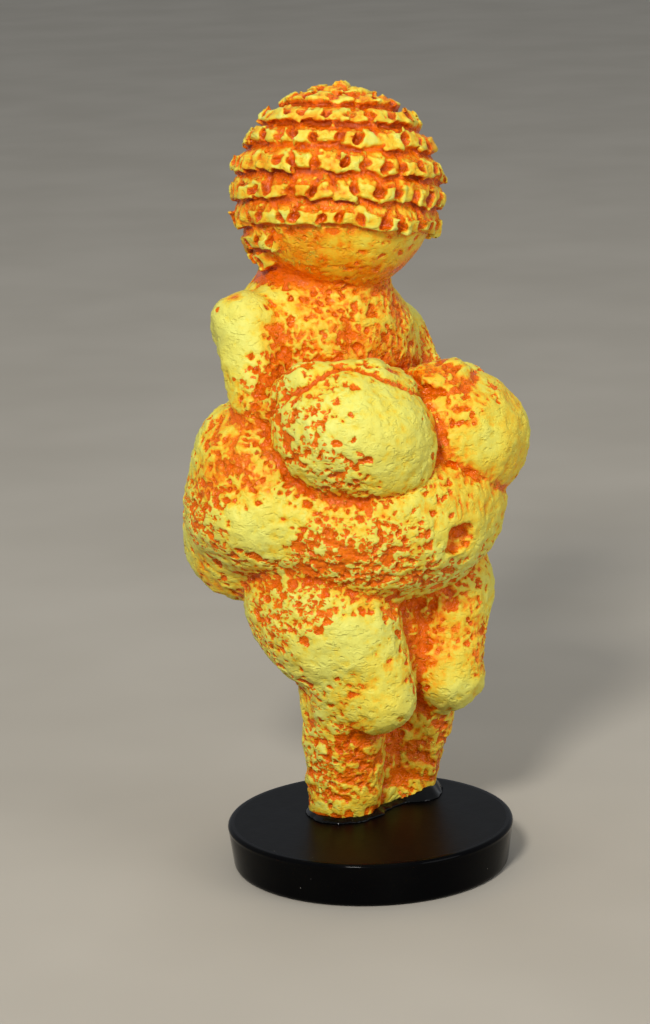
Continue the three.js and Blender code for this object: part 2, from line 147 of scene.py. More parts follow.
def body(p, seams=None, parts=None):
    """The figure without its head. seams, if given, is filled with how near each point lies to where two masses meet, and parts with the number of the mass each point lies on."""
    u, z = p[:, 0], p[:, 2]
    w = np.abs(u)
    pw = np.stack([w, p[:, 1], z], 1)
    ps = np.stack([u, p[:, 1], z + CHEST_LEAN * u], 1)
    pws = np.stack([w, p[:, 1], z + CHEST_LEAN * u], 1)
    pwa = np.stack([w, p[:, 1], z + ARM_LEAN * u], 1)

    number = [1]

    def seam(a, b, width, strength=1.0):
        if parts is not None:
            parts[b < a] = number[0]
            number[0] += 1
        if seams is not None:
            width = 0.62 * width
            near = np.exp(-((a - b) / width) ** 2) * np.exp(-(np.maximum(a, b) / (1.8 * width)) ** 2)
            np.maximum(seams, strength * near, out=seams)

    d = ellipsoid(ps, (0, 7.2, 97.5), (20.5, 13.6, 15.5))
    d = blend(d, ellipsoid(p, (0, 5, 72), (35.4, 22.8, 18.6)), 5)
    d = blend(d, ellipsoid(pw, (18.5, 5, 80.5), (14.8, 14.5, 12)), 3)
    d = blend(d, ellipsoid(p, (0, -6.5, 68.5), (27, 20.5, 17.5)), 4)
    d = blend(d, limb(p, (0, 7, 118), (0, 8, 104), 10.6, 14), 5)
    d = blend(d, limb(pwa, (6, 8.2, 105.8), (14.8, 8.2, 100.2), 8.8, 8), 4)
    x = limb(pwa, (19.9, 8.2, 101.4), (23.3, 2.0, 86.2), 6.8, 5.2)
    seam(d, x, 1.1, 0.8)
    d = blend(d, x, 1.3)
    d = blend(d, ellipsoid(pws, (9, 14.6, 98.5), (7.8, 7.4, 8.5)), 2.5)
    d = blend(d, ellipsoid(pw, (14.2, 14, 63.6), (14.6, 12.8, 13.2)), 4)
    d = carve(d, limb(p, (0, 31, 70), (0, 26, 50), 2.2, 3), 3)
    x = ellipsoid(pws, (12.8, -11.9, 83.6), (16.5, 15, 13.6), -10)
    seam(d, x, 1.2)
    d = blend(d, x, 0.9)
    arm = blend(limb(pws, (23.2, 1.0, 86.6), (21.2, -8.8, 92.8), 4.9, 3.7), limb(pws, (21.2, -8.8, 92.8), (11, -15.4, 95.9), 3.7, 3.0), 4)
    arm = blend(arm, ellipsoid(pws, (8.0, -16.2, 94.8), (6.6, 5.4, 2.3), 24), 3.5)
    seam(d, arm, 0.9)
    d = blend(d, arm, 0.6)
    x = ellipsoid(pw, (13.4, -2.6, 51.8), (13.5, 14.6, 18), -27)
    seam(d, x, 1.4)
    d = blend(d, x, 1.6)
    x = limb(pw, (11.4, -8.8, 48), (9.7, -12.9, 34.9), 9.2, 7.5)
    seam(d, x, 1.2, 0.25)
    d = blend(d, x, 3)
    d = blend(d, limb(pw, (12.4, -7.6, 37), (10.2, -5.2, 23), 7.5, 5.0), 2.5)
    x = limb(pw, (9.3, -4, 34), (7.8, -1.2, 4), 9, 6.2)
    seam(d, x, 1.2, 0.7)
    d = blend(d, x, 2)
    x = np.minimum(ellipsoid(p, (0, -1, 22), (9, 6, 30)), ellipsoid(p, (0, -3.5, 42), (8.5, 10.5, 17)))
    seam(d, x, 1.6)
    d = blend(d, blend(ellipsoid(p, (0, -1, 22), (9, 6, 30)), ellipsoid(p, (0, -3.5, 42), (8.5, 10.5, 17)), 2.5), 2)
    # the navel, a small squarish hollow
    q = np.abs(p - V(0.3, -27.4, 65.6)) / V(3.6, 2.6, 3.0)
    d = carve(d, ((q ** 3.2).sum(1) ** (1 / 3.2) - 1) * 2.5, 0.5)
    return d


# axes of the cap: K along the crown, I towards the figure's right, J to the front
K = np.array(CAP_AXIS) / np.linalg.norm(CAP_AXIS)
J = np.array([0, -1.0, 0]) + K * K[1]
J /= np.linalg.norm(J)
I = np.cross(J, K)
ROWS = []
_rng = np.random.default_rng(11)
for _at, _half in [(a, 999) for a in CAP_ROWS] + list(NAPE_ROWS):
    n = int(math.floor(2 * math.pi * HEAD_R * math.sin(rad(_at)) / (RUFFLE if _half > 360 else RUFFLE * 0.9) * 1.06 + 0.5))
    ROWS.append(dict(at=rad(_at), half=(_half if _half > 360 else rad(_half)), n=n,
                     shift=_rng.uniform(-0.2, 0.2, n), wide=_rng.uniform(0.72, 1.2, n), tall=_rng.uniform(0.95, 1.4, n), size=_rng.uniform(0.78, 1.2, n),
                     low=_rng.uniform(-0.65, 0.05, n), deep=np.where(_rng.random(n) < 0.1, 0.5, _rng.uniform(0.95, 1.4, n)),
                     fold=np.where(_rng.random(n) < 0.3, 0.0, _rng.uniform(0.5, 1.1, n)),
                     out=_rng.uniform(-0.45, 0.4, n), drop=_rng.uniform(-0.32, 0.32, n), twist=_rng.uniform(-0.26, 0.26, n),
                     lean=_rng.uniform(-0.15, 0.40, n), skew=_rng.uniform(-0.5, 0.5, n), roll=_rng.uniform(-0.22, 0.22, n)))
NUBS = [(_rng.choice(len(CAP_ROWS) - 1), _rng.uniform(-math.pi, math.pi), _rng.uniform(2.1, 3.0), _rng.uniform(0.35, 0.6)) for _ in range(34)]


def cap_coords(p):
    q = p - V(*HEAD_C)
    rho = np.sqrt((q * q).sum(1))
    c = (q @ K.astype(F4)) / np.maximum(rho, 1e-6)
    theta = np.arccos(np.clip(c, -1, 1))
    phi = np.arctan2(q @ I.astype(F4), q @ J.astype(F4))
    return rho - F4(HEAD_R), theta, phi


def head(p):
    h, theta, phi = cap_coords(p)
    d = h.copy()
    near = np.where(np.abs(h) < 4.5)[0]
    if not len(near):
        return d
    hh, th, ph, dn, pn = h[near], theta[near], phi[near], d[near].copy(), p[near]
    dn = blend(dn, np.hypot(HEAD_R * th, dn + 0.3) - 1.3, 0.8)
    # the crown is a small heap of ruffles
    crown = 1 - ramp(th, rad(10), rad(24))
    dn = dn - crown * (1.0 * noise(pn, 2.4, 77) + 0.75 * (1 - 2.2 * np.abs(noise(pn, 1.9, 78))).clip(-0.2, 1))
    torn_a, torn_b, torn_c = 0.26 * noise(pn, 1.25, 79) + 0.2 * noise(pn, 2.6, 80), 0.34 * noise(pn, 1.4, 83), 0.22 * noise(pn, 1.3, 84)
    wob = 0.42 * noise(pn, 6.0, 71) + 0.16 * noise(pn, 2.4, 72)
    from_back = math.pi - np.abs(ph)
    for i, r in enumerate(ROWS):
        s = HEAD_R * (th - r["at"]) + wob
        sel = np.where((s > -4.6) & (s < 3.4) & (from_back < r["half"] + 0.1))[0]
        if not len(sel):
            continue
        s, g, f, fb = s[sel], hh[sel], ph[sel], from_back[sel]
        fade = np.ones(len(sel), F4) if r["half"] > 7 else np.clip((r["half"] - fb) / 0.25, 0, 1)
        n = r["n"]
        width = 2 * math.pi / n * HEAD_R * math.sin(r["at"])
        x = (f + i * 0.7) * n / (2 * math.pi)
        plate = np.floor(x).astype(int) % n
        across = (x - np.floor(x) - 0.5) * width
        rough = 0.75 if i else 1.3
        g0 = g - (fade - 1) * 1.9
        gg = g0 - rough * r["out"][plate].astype(F4) - r["twist"][plate] * across
        # the slope that rises out of the groove above, as one long wedge
        ax, ay, bx, by = -2.75, -0.55, -0.55, 0.72
        t = np.clip(((s - ax) * (bx - ax) + (g0 - ay) * (by - ay)) / ((bx - ax) ** 2 + (by - ay) ** 2), 0, 1)
        wedge = np.hypot(s - ax - t * (bx - ax), g0 - ay - t * (by - ay)) - (0.72 - 0.1 * t)
        # folds and streaks that run up the slope
        along = np.stack([f * (HEAD_R * math.sin(r["at"])) + 0.35 * s, s * 0.28 + 9.0 * i, s * 0], 1).astype(F4)
        streak = (1 - 2.6 * np.abs(noise(along, 1.25, 85))).clip(-0.15, 1) + 0.6 * (1 - 2.6 * np.abs(noise(along, 0.8, 86))).clip(-0.2, 1)
        on_slope = ramp(s, -3.0, -2.2) * (1 - ramp(s, -0.5, 0.3))
        row = blend(dn[sel], wedge, 0.7) - 0.33 * streak * on_slope * fade
        # the plate on its outer edge: an upright block, its face a little hollow, its corners flared
        flare = 0.35 * np.clip(np.abs(across) / (0.5 * width), 0, 1) ** 2
        a = s - r["drop"][plate] - 0.02 + r["lean"][plate] * gg + r["roll"][plate] * across + torn_a[sel]
        b = gg - 0.60 + torn_c[sel]
        size = r["size"][plate].astype(F4)
        qx, qy = np.abs(a) - size * (0.98 + 0.5 * flare), np.abs(b) - (0.88 + 0.8 * flare)
        block = np.hypot(np.maximum(qx, 0), np.maximum(qy, 0)) + np.minimum(np.maximum(qx, qy), 0) - 0.17
        row = blend(row, block, 0.3)
        # pockets between the plates, each with a fold running up the slope
        m = np.round(x).astype(int)
        mj = m % n
        arc = (x - m - r["shift"][mj]) * width + r["skew"][mj] * s
        arc = arc + 0.12 * np.sin(3.1 * s + 2.0 * mj) + torn_b[sel]
        e = np.sqrt((arc / r["wide"][mj]) ** 2 + ((s - r["low"][mj]) / r["tall"][mj]) ** 2 + ((g0 - 1.8) / (1.3 * r["deep"][mj])) ** 2)
        row = carve(row, np.where(fade < 0.3, 9.0, (e - 1) * 0.72), 0.25)
        e = np.sqrt((arc / 0.62) ** 2 + ((s + 1.9) / 1.6) ** 2 + ((g0 - 1.15 - 0.5 * s - 0.8) / 0.75) ** 2)
        row = carve(row, np.where((fade < 0.3) | (r["fold"][mj] < 0.1), 9.0, (e - r["fold"][mj]) * 0.6), 0.3)
        dn[sel] = row
    for i, f, s0, r0 in NUBS:
        t0 = ROWS[i]["at"] + s0 / HEAD_R
        c = HEAD_R + 0.35
        v = K * math.cos(t0) + (J * math.cos(f) + I * math.sin(f)) * math.sin(t0)
        dn = blend(dn, np.sqrt(((pn - V(*(np.array(HEAD_C) + v * c))) ** 2).sum(1)) - r0, 0.25)
    d[near] = dn
    return d.astype(F4)


def finger_lines(p):
    """Shallow strokes that part the fingers of each hand, as a depth in mm."""
    pws = np.stack([np.abs(p[:, 0]), p[:, 1], p[:, 2] + CHEST_LEAN * p[:, 0]], 1)
    depth = np.zeros(len(p), F4)
    bend = 0.5 * noise(p, 3.5, 91)
    for k, v in enumerate((-19.3, -17.7, -16.1, -14.5)):
        rise = 98.2 + 0.36 * (v + 16)
        g = limb(pws, (13.5 + 2.5 * (k % 2), v + 2.4, rise + 0.9), (2.4, v - 0.6, rise - 0.4), 0.25, 0.15) + bend * 0.4
        depth = np.maximum(depth, ramp(-g, -0.75, 0.05))
    # thinner strokes along the forearm
    for k, (z0, z1) in enumerate(((95.6, 98.2), (94.2, 96.4), (92.6, 94.6))):
        g = limb(pws, (23.5, -9.5 - 1.2 * k, z0 - 0.6), (12.0, -17.2 - 1.3 * k, z1), 0.2, 0.2) + bend
        depth = np.maximum(depth, 0.7 * ramp(-g, -0.7, 0.05))
    return depth * (0.85 + 0.8 * noise(p, 2.2, 92)).clip(0.45, 1.1)


def on_forearm(p):
    """1 on the forearms, 0 away from them."""
    pws = np.stack([np.abs(p[:, 0]), p[:, 1], p[:, 2] + CHEST_LEAN * p[:, 0]], 1)
    return 1 - ramp(limb(pws, (21.2, -8.8, 92.8), (11, -15.4, 95.9), 3.7, 3.0), 0.1, 1.5)


def figure_field(p):
    d = body(p)
    up = np.where(p[:, 2] > 104)[0]
    if len(up):
        d[up] = blend(d[up], head(p[up]), 1.5)
    # the feet end in a slightly uneven cut, which the glue takes up
    cut = DISC_H + 0.25 + 1.3 * ramp(p[:, 0], 1.0, 12.0) + 0.35 * noise(np.stack([p[:, 0], p[:, 1], p[:, 0] * 0], 1), 3.0, 5)
    return np.maximum(d, cut - p[:, 2])


# ------------------------------------------------------------------ field to mesh
def sample(field, lo, hi, h):
    B = 8
    lo, hi = np.array(lo, float), np.array(hi, float)
    nb = np.ceil((hi - lo) / (B * h)).astype(int)
    gx, gy, gz = np.meshgrid(*[lo[a] + (np.arange(nb[a]) + 0.5) * B * h for a in range(3)], indexing="ij")
    C = np.stack([gx.ravel(), gy.ravel(), gz.ravel()], 1).astype(F4)
    c = field(C)
    act = np.where(np.abs(c) < 0.9 * B * h * 1.25 + 1.6)[0]
    D = np.repeat(np.repeat(np.repeat(np.where(c < 0, -9.0, 9.0).astype(F4).reshape(nb), B, 0), B, 1), B, 2)
    bi = np.stack(np.unravel_index(act, nb), 1) * B
    o = np.stack(np.meshgrid(*[np.arange(B)] * 3, indexing="ij"), -1).reshape(-1, 3)
    for part in np.array_split(np.arange(len(act)), max(1, len(act) // 600)):
        idx = (bi[part][:, None, :] + o[None]).reshape(-1, 3)
        P = (lo + idx * h).astype(F4)
        D[idx[:, 0], idx[:, 1], idx[:, 2]] = field(P)
    D[:, :, 0] = np.maximum(D[:, :, 0], 0.5)
    D[np.abs(D) < 1e-4] = 1e-4
    return D, lo


def without_diagonals(D, h):
    """Fills a corner wherever the inside touches itself only across a diagonal, so that each edge of the mesh is shared by two faces."""
    total = 0
    for _ in range(20):
        found = 0
        for a, b in ((0, 1), (0, 2), (1, 2)):
            ins = D < 0
            ea, eb = np.eye(3, dtype=int)[a], np.eye(3, dtype=int)[b]
            low = tuple(slice(0, -1) if k in (a, b) else slice(None) for k in range(3))
            at_a = tuple(slice(1, None) if k == a else low[k] for k in range(3))
            at_b = tuple(slice(1, None) if k == b else low[k] for k in range(3))
            both = tuple(slice(1, None) if k in (a, b) else low[k] for k in range(3))
            bad = np.argwhere((ins[low] == ins[both]) & (ins[at_a] == ins[at_b]) & (ins[low] != ins[at_a]))
            if not len(bad):
                continue
            found += len(bad)
            solid = ins[tuple(bad.T)][:, None]
            c1 = np.where(solid, bad + ea, bad)
            c2 = np.where(solid, bad + eb, bad + ea + eb)
            v1, v2 = D[tuple(c1.T)] + 50.0 * (c1[:, 2] == 0), D[tuple(c2.T)] + 50.0 * (c2[:, 2] == 0)
            c = np.where((v1 < v2)[:, None], c1, c2)
            D[tuple(c.T)] = -0.03 * h
        total += found
        if not found:
            break
    return total


def surface(field, lo, hi, h):
    D, lo = sample(field, lo, hi, h)
    print("diagonals filled", without_diagonals(D, h))
    ins = D < 0
    n = np.array(D.shape) - 1
    cnt = np.zeros(n, np.uint8)
    corners = [(a, b, c) for a in (0, 1) for b in (0, 1) for c in (0, 1)]
    for a, b, c in corners:
        cnt += ins[a:a + n[0], b:b + n[1], c:c + n[2]]
    cells = np.argwhere((cnt > 0) & (cnt < 8))
    vid = np.full(n, -1, np.int32)
    vid[cells[:, 0], cells[:, 1], cells[:, 2]] = np.arange(len(cells))
    acc, m = np.zeros((len(cells), 3)), np.zeros(len(cells))
    val = {k: D[cells[:, 0] + k[0], cells[:, 1] + k[1], cells[:, 2] + k[2]] for k in corners}
    for k in corners:
        for ax in range(3):
            if k[ax]:
                continue
            k2 = tuple(1 if j == ax else k[j] for j in range(3))
            a, b = val[k], val[k2]
            x = (a < 0) != (b < 0)
            t = np.where(x, a / np.where(x, a - b, 1), 0)
            q = np.tile(np.array(k, float), (len(cells), 1))
            q[:, ax] += t
            acc[x] += q[x]
            m[x] += 1
    P = lo + (cells + acc / m[:, None]) * h
    quads = []
    for ax, order in ((0, ((-1, -1), (0, -1), (0, 0), (-1, 0))), (1, ((-1, -1), (-1, 0), (0, 0), (0, -1))), (2, ((-1, -1), (0, -1), (0, 0), (-1, 0)))):
        A = np.take(ins, range(0, ins.shape[ax] - 1), ax)
        Bn = np.take(ins, range(1, ins.shape[ax]), ax)
        e = np.argwhere(A != Bn)
        flip = ~A[e[:, 0], e[:, 1], e[:, 2]]
        oth = [k for k in range(3) if k != ax]
        q = []
        for o in order:
            c = e.copy()
            c[:, oth[0]] += o[0]
            c[:, oth[1]] += o[1]
            q.append(vid[c[:, 0], c[:, 1], c[:, 2]])
        q = np.stack(q, 1)
        q[flip] = q[flip][:, ::-1]
        quads.append(q)
    Q = np.concatenate(quads)
    Q = Q[(Q >= 0).all(1)]
    return P.astype(F4), Q


def normals_of(P, Q):
    a, b = P[Q[:, 2]] - P[Q[:, 0]], P[Q[:, 3]] - P[Q[:, 1]]
    fn = np.cross(a, b)
    N = np.zeros_like(P, dtype=float)
    for k in range(4):
        for c in range(3):
            N[:, c] += np.bincount(Q[:, k], fn[:, c], len(P))
    return (N / np.maximum(np.linalg.norm(N, axis=1, keepdims=True), 1e-9)).astype(F4)


def neighbours_mean(P, Q, X):
    """Mean of X over each vertex's edge neighbours."""
    e = np.concatenate([Q[:, [0, 1]], Q[:, [1, 2]], Q[:, [2, 3]], Q[:, [3, 0]]])
    s = np.zeros_like(X, dtype=float)
    w = np.bincount(e[:, 0], minlength=len(P)) + np.bincount(e[:, 1], minlength=len(P))
    for a, b in ((0, 1), (1, 0)):
        if X.ndim == 1:
            s += np.bincount(e[:, a], X[e[:, b]], len(P))
        else:
            for c in range(X.shape[1]):
                s[:, c] += np.bincount(e[:, a], X[e[:, b], c], len(P))
    return s / (w if X.ndim == 1 else w[:, None])


def joined(n, a, b):
    """For each of n things, the lowest number among those it is linked to by the pairs a, b."""
    who = np.arange(n)
    for _ in range(400):
        new = who.copy()
        np.minimum.at(new, a, who[b])
        np.minimum.at(new, b, who[a])
        new = new[new]
        if (new == who).all():
            break
        who = new
    return who


def one_piece(P, Q):
    """Only the largest closed surface, without crumbs or bubbles."""
    who = joined(len(P), np.concatenate([Q[:, 0], Q[:, 1], Q[:, 2]]), np.concatenate([Q[:, 1], Q[:, 2], Q[:, 3]]))
    ids, count = np.unique(who, return_counts=True)
    keep = who == ids[count.argmax()]
    print("surfaces %d, kept %d of %d points" % (len(ids), keep.sum(), len(P)))
    new = np.cumsum(keep) - 1
    return P[keep], new[Q[keep[Q[:, 0]]]]


def mesh_object(name, P, Q, attrs=None):
    me = bpy.data.meshes.new(name)
    me.vertices.add(len(P))
    me.vertices.foreach_set("co", np.ascontiguousarray(P, F4).ravel())
    k = Q.shape[1]
    me.loops.add(Q.size)
    me.loops.foreach_set("vertex_index", Q.astype(np.int32).ravel())
    me.polygons.add(len(Q))
    me.polygons.foreach_set("loop_start", np.arange(0, Q.size, k, dtype=np.int32))
    me.update(calc_edges=True)
    me.validate()
    for a, v in (attrs or {}).items():
        at = me.attributes.new(a, "FLOAT", "POINT")
        at.data.foreach_set("value", np.ascontiguousarray(v, F4))
    ob = bpy.data.objects.new(name, me)
    bpy.context.scene.collection.objects.link(ob)
    me.polygons.foreach_set("use_smooth", np.ones(len(me.polygons), bool))
    return ob


# ------------------------------------------------------------------ the carved surface
def gradient(p, e=0.2):
    g = np.stack([figure_field(p + V(*[e if j == k else 0 for j in range(3)])) - figure_field(p - V(*[e if j == k else 0 for j in range(3)])) for k in range(3)], 1)
    return g / np.maximum(np.linalg.norm(g, axis=1, keepdims=True), 1e-6)


def hollow_at(p, n, reach):
    """0 on a flat or rounded place, up to about 1 in a deep groove of that reach in mm."""
    return np.clip(1 - figure_field((p + n * F4(reach)).astype(F4)) / F4(reach), -0.5, 1.5)


# Zones of the hand-painted finish, on the figure's own axes: place, reach and strength.
# Orange washes lie in the hollows, pitted places show many small openings, clean places hardly any.
WASHES = [(0.3, -25.8, 65.2, 3.3, 1.9), (-19.5, 1, 104.0, 3.6, 0.9), (-21.5, -3, 98.7, 3.2, 0.7), (-7, -5.5, 104.3, 2.2, 0.8), (8.4, -4.2, 106, 3, 0.5), (-12, -2, 109, 4, 0.4),
          (2.3, -16.3, 95.7, 4.5, 0.9), (0, -21, 86, 4.5, 0.9), (6, -20, 92, 4, 0.6), (-30.2, 4.6, 87.9, 5.5, 1.1), (-29, -4, 84, 4, 0.9), (-32, -1, 81, 5, 0.7),
          (-35, 6, 76, 3, 0.5), (1.5, -10, 43, 7, 1.1), (-3, -13, 51, 5, 0.9), (7.6, -16.5, 48, 5, 0.9), (10.3, -20, 38.7, 3.5, 0.7), (-9, -8, 16, 4, 0.6), (1, -3, 20, 6, 0.8),
          (9, -8, 19, 4, 0.5), (6.5, -9, 14, 4.5, 0.8), (3, -7, 26, 5, 0.6), (30, 5, 88, 6, 1.0), (24, 1, 100, 5, 0.7), (33, 2, 80, 5, 0.6), (0, 25, 84, 6, 0.7), (14, 22, 92, 4, 0.6), (-15, 22, 90, 5, 0.6),
          (0, 24, 58, 5, 0.9), (26, 14, 56, 5, 0.6), (-25, 14, 57, 5, 0.6), (-14, 8, 30, 4, 0.5), (13, 8, 28, 4, 0.5), (-10, 7, 14, 4, 0.4), (10, 8, 18, 4, 0.4)]
PITTED = [(-23.5, -1.5, 95.5, 6, 0.45), (-24, -4, 89.5, 5.5, 0.36), (25, 0, 96, 7, 0.36), (24, -8, 90, 6, 0.36), (-17, -13, 98, 5, 0.30), (-4, -7, 102, 8, 0.16), (8, -6, 103, 8, 0.2), (-13, -3, 103, 7, 0.16), (0, 0, 110, 8, 0.12),
          (15, -24, 92, 6, 0.30), (-25, -20, 84, 6, 0.30), (-27, -17, 93, 7, 0.32), (-29, -14, 86.5, 6, 0.28), (-22, -20, 78.5, 5, 0.25), (-35, 8.5, 71, 10, 0.42), (-21.5, -19, 68, 8, 0.38),
          (-17.7, -20.3, 62.4, 8, 0.5), (-26, -10, 63, 8, 0.34), (-8, -24, 62, 6, 0.4), (2, -21, 60, 6, 0.35), (12, -20, 61, 6, 0.4), (-22, -11, 53.7, 6, 0.34), (-26, -2, 50, 8, 0.42), (-15, -7, 27, 7, 0.36),
          (-13.5, -5, 15, 7, 0.34), (11, -9, 22, 6, 0.32), (16, -17, 40, 6, 0.34), (34, 9, 70, 11, 0.3), (0, 27, 74, 9, 0.2),
          (-18, 25, 70, 9, 0.3), (18, 26, 62, 9, 0.25), (22, 10, 45, 9, 0.3), (-20, 12, 42, 9, 0.3), (0, 22, 98, 9, 0.2)]
CLEAN = [(-27, 5, 105, 6, 0.45), (-31, 7, 97, 4, 0.3), (-17.6, -26.2, 87, 9, 0.6), (13.5, -26.6, 84, 8, 0.6), (-31, -5, 69, 6, 0.5), (-3, -27, 63.5, 6, 0.35), (9.8, -25.3, 67, 8, 0.5), (-20.6, -14.7, 47.5, 7, 0.5),
         (-14.6, -20.2, 33, 6, 0.6), (6.5, -20.3, 31.6, 5, 0.5), (26, 5, 104, 7, 0.4), (12, 27, 64, 8, 0.4), (-12, 26, 78, 8, 0.3), (12, 24, 98, 8, 0.3), (20, -12, 47, 7, 0.3)]

# golden places, where the yellow is thin over the orange
GOLDEN = [(0, -3, 105, 13, 0.40), (0, 3, 112, 9, 0.22), (-14, -3, 102.5, 9, 0.24), (10, -2, 104, 8, 0.26), (3, -20, 92, 8, 0.24), (18, -22, 88, 9, 0.26), (20, -20, 70, 10, 0.16), (-14.6, -20, 33, 6, 0.10), (0, -22, 76, 7, 0.24), (8, -22, 74, 7, 0.18), (-20, -18, 73, 7, 0.12),
          (-33, 0, 84, 8, 0.20), (2, -10, 44, 10, 0.20), (10, -18, 44, 7, 0.18), (0, -4, 22, 10, 0.25), (9, -8, 20, 7, 0.2), (-9, -10, 22, 7, 0.18), (0, 24, 60, 9, 0.2), (0, 24, 86, 9, 0.15),
          (14, 8, 28, 10, 0.14), (-14, 8, 28, 10, 0.14), (-8, -10, 14, 6, 0.15), (9, -6, 13, 6, 0.15), (-26, -2, 94, 5, 0.15)]


def zone(p, zones):
    out = np.zeros(len(p), F4)
    for u, v, z, r, a in zones:
        q = p - V(u, v, z)
        out += F4(a) * np.exp(-(q * q).sum(1) / F4(r * r))
    return out


def pit_share(p, hollow):
    """Share of the small angular cells that stay open at a place."""
    s = 0.13 - 0.06 * (1 - ramp(p[:, 2], 28, 36)) + 0.10 * noise(p, 9.0, 201) + 0.10 * noise(p, 4.0, 202) + zone(p, PITTED) - 0.9 * zone(p, CLEAN) + 0.5 * np.clip(hollow, 0, 0.8)
    headside = ramp(p[:, 2], 109.5, 112.5)
    return np.clip(s * (1 - headside) + 0.05 * headside, 0.0, 0.85)


def cells(P, size, seed, share, warp=0.25, amount=1.0, walls=0.2):
    """Distance in mm to the edge of the open cells, positive inside one, and how deep that cell is."""
    size = np.broadcast_to(np.asarray(size, F4), (3,)).astype(F4)
    lo = np.floor(P.min(0) / size).astype(int) - 2
    hi = np.floor(P.max(0) / size).astype(int) + 3
    n = hi - lo
    gi = np.stack(np.meshgrid(*[np.arange(lo[a], hi[a]) for a in range(3)], indexing="ij"), -1).reshape(-1, 3)
    jit = np.stack([_hash(gi[:, 0], gi[:, 1], gi[:, 2], seed + a).astype(F4) / F4(4294967295.0) for a in range(3)], 1)
    S = (gi + 0.08 + 0.84 * jit).astype(F4) * size
    opened = np.zeros(len(S), bool)
    near = np.where(np.abs(figure_field(S)) < size.max() * 1.25)[0]
    nn = gradient(S[near])
    on = S[near] - nn * figure_field(S[near])[:, None]
    hol = hollow_at(on, nn, 3.0)
    draw = _hash(gi[near, 0], gi[near, 1], gi[near, 2], seed + 9).astype(F4) / F4(4294967295.0)
    opened[near] = draw < amount * share(on, hol)
    deep = 0.6 + 0.8 * (_hash(gi[:, 0], gi[:, 1], gi[:, 2], seed + 5).astype(F4) / F4(4294967295.0))
    S, opened, deep = S.reshape(*n, 3), opened.reshape(n), deep.reshape(n)
    Pw = P + warp * size * np.stack([noise(P, float(size.mean()) * 0.8, seed + 40 + a) for a in range(3)], 1)
    c = np.floor(Pw / size).astype(int) - lo
    dA, dI, dep, f1, f2 = np.full(len(P), 99, F4), np.full(len(P), 99, F4), np.zeros(len(P), F4), np.full(len(P), 99, F4), np.full(len(P), 99, F4)
    for a in (-1, 0, 1):
        for b in (-1, 0, 1):
            for k in (-1, 0, 1):
                i = (np.clip(c[:, 0] + a, 0, n[0] - 1), np.clip(c[:, 1] + b, 0, n[1] - 1), np.clip(c[:, 2] + k, 0, n[2] - 1))
                q = Pw - S[i]
                d = np.sqrt((q * q).sum(1))
                f2 = np.minimum(f2, np.maximum(f1, d))
                f1 = np.minimum(f1, d)
                o = opened[i]
                better = o & (d < dA)
                dep = np.where(better, deep[i], dep)
                dA = np.where(better, d, dA)
                dI = np.where(~o & (d < dI), d, dI)
    alone = (dI - dA) * 0.55
    wall = walls * np.clip(0.75 + 1.2 * noise(P, 3.5, seed + 60), 0, 1.3)
    walled = np.minimum(alone, (f2 - f1) * 0.55 - wall)
    return np.clip(np.where(wall > 0.02, walled, alone), -2, 2), dep


def scoops(P, size, seed):
    """Shallow knapped scoops with sharp ridges between them, from 0 in the middle of a scoop to 1 on a ridge."""
    q = P / F4(size)
    c = np.floor(q).astype(int)
    f1, f2 = np.full(len(P), 9, F4), np.full(len(P), 9, F4)
    for a in (-1, 0, 1):
        for b in (-1, 0, 1):
            for k in (-1, 0, 1):
                g = c + np.array([a, b, k])
                j = np.stack([_hash(g[:, 0], g[:, 1], g[:, 2], seed + m).astype(F4) / F4(4294967295.0) for m in range(3)], 1)
                d = np.sqrt(((q - g - 0.1 - 0.8 * j) ** 2).sum(1)).astype(F4)
                f2 = np.minimum(f2, np.maximum(f1, d))
                f1 = np.minimum(f1, d)
    return f1, f2


def edge_sums(P, Q):
    e = np.concatenate([Q[:, [0, 1]], Q[:, [1, 2]], Q[:, [2, 3]], Q[:, [3, 0]]])
    e = np.concatenate([e, e[:, ::-1]])
    e = e[np.argsort(e[:, 0], kind="stable")]
    start = np.searchsorted(e[:, 0], np.arange(len(P)))
    return e[:, 1], start, np.diff(np.append(start, len(e)))


def smoothed(X, nb, times):
    to, start, count = nb
    for _ in range(times):
        s = np.add.reduceat(X[to], start, axis=0)
        X = 0.5 * X + 0.5 * s / (count if X.ndim == 1 else count[:, None])
    return X


P, Q = one_piece(*surface(figure_field, (-38.6, -31.0, DISC_H - 2.0), (38.6, 32.0, 152.5), CELL))
N = gradient(P)
P = (P - N * figure_field(P)[:, None] * 0.9).astype(F4)
N = gradient(P)
print("surface %d verts %d quads %.1f" % (len(P), len(Q), time.time() - T0))

h15, h3, h7 = hollow_at(P, N, 1.3), hollow_at(P, N, 3.0), hollow_at(P, N, 7.0)
seams = np.zeros(len(P), F4)
body(P, seams)
cap_out, theta, phi = cap_coords(P)
LAST_ROW = rad(CAP_ROWS[-1])
nape = ramp(np.abs(phi), rad(84), rad(100)) * ramp(-theta, rad(-139), rad(-135))
on_head = ramp(P[:, 2], 109.5, 111.5)
cap = np.maximum(1 - ramp(theta, LAST_ROW + 0.05, LAST_ROW + 0.11), nape) * on_head
face = ramp(P[:, 2], 111.5, 114.5) * (1 - cap)
foot = 1 - ramp(P[:, 2], DISC_H + 1.0, DISC_H + 3.5)
skin = (1 - cap) * (1 - 0.55 * face)
seams = seams * (1 - ramp(P[:, 2], 110, 113))
wash = zone(P, WASHES) * (1 - cap)
print("facts %.1f" % (time.time() - T0))

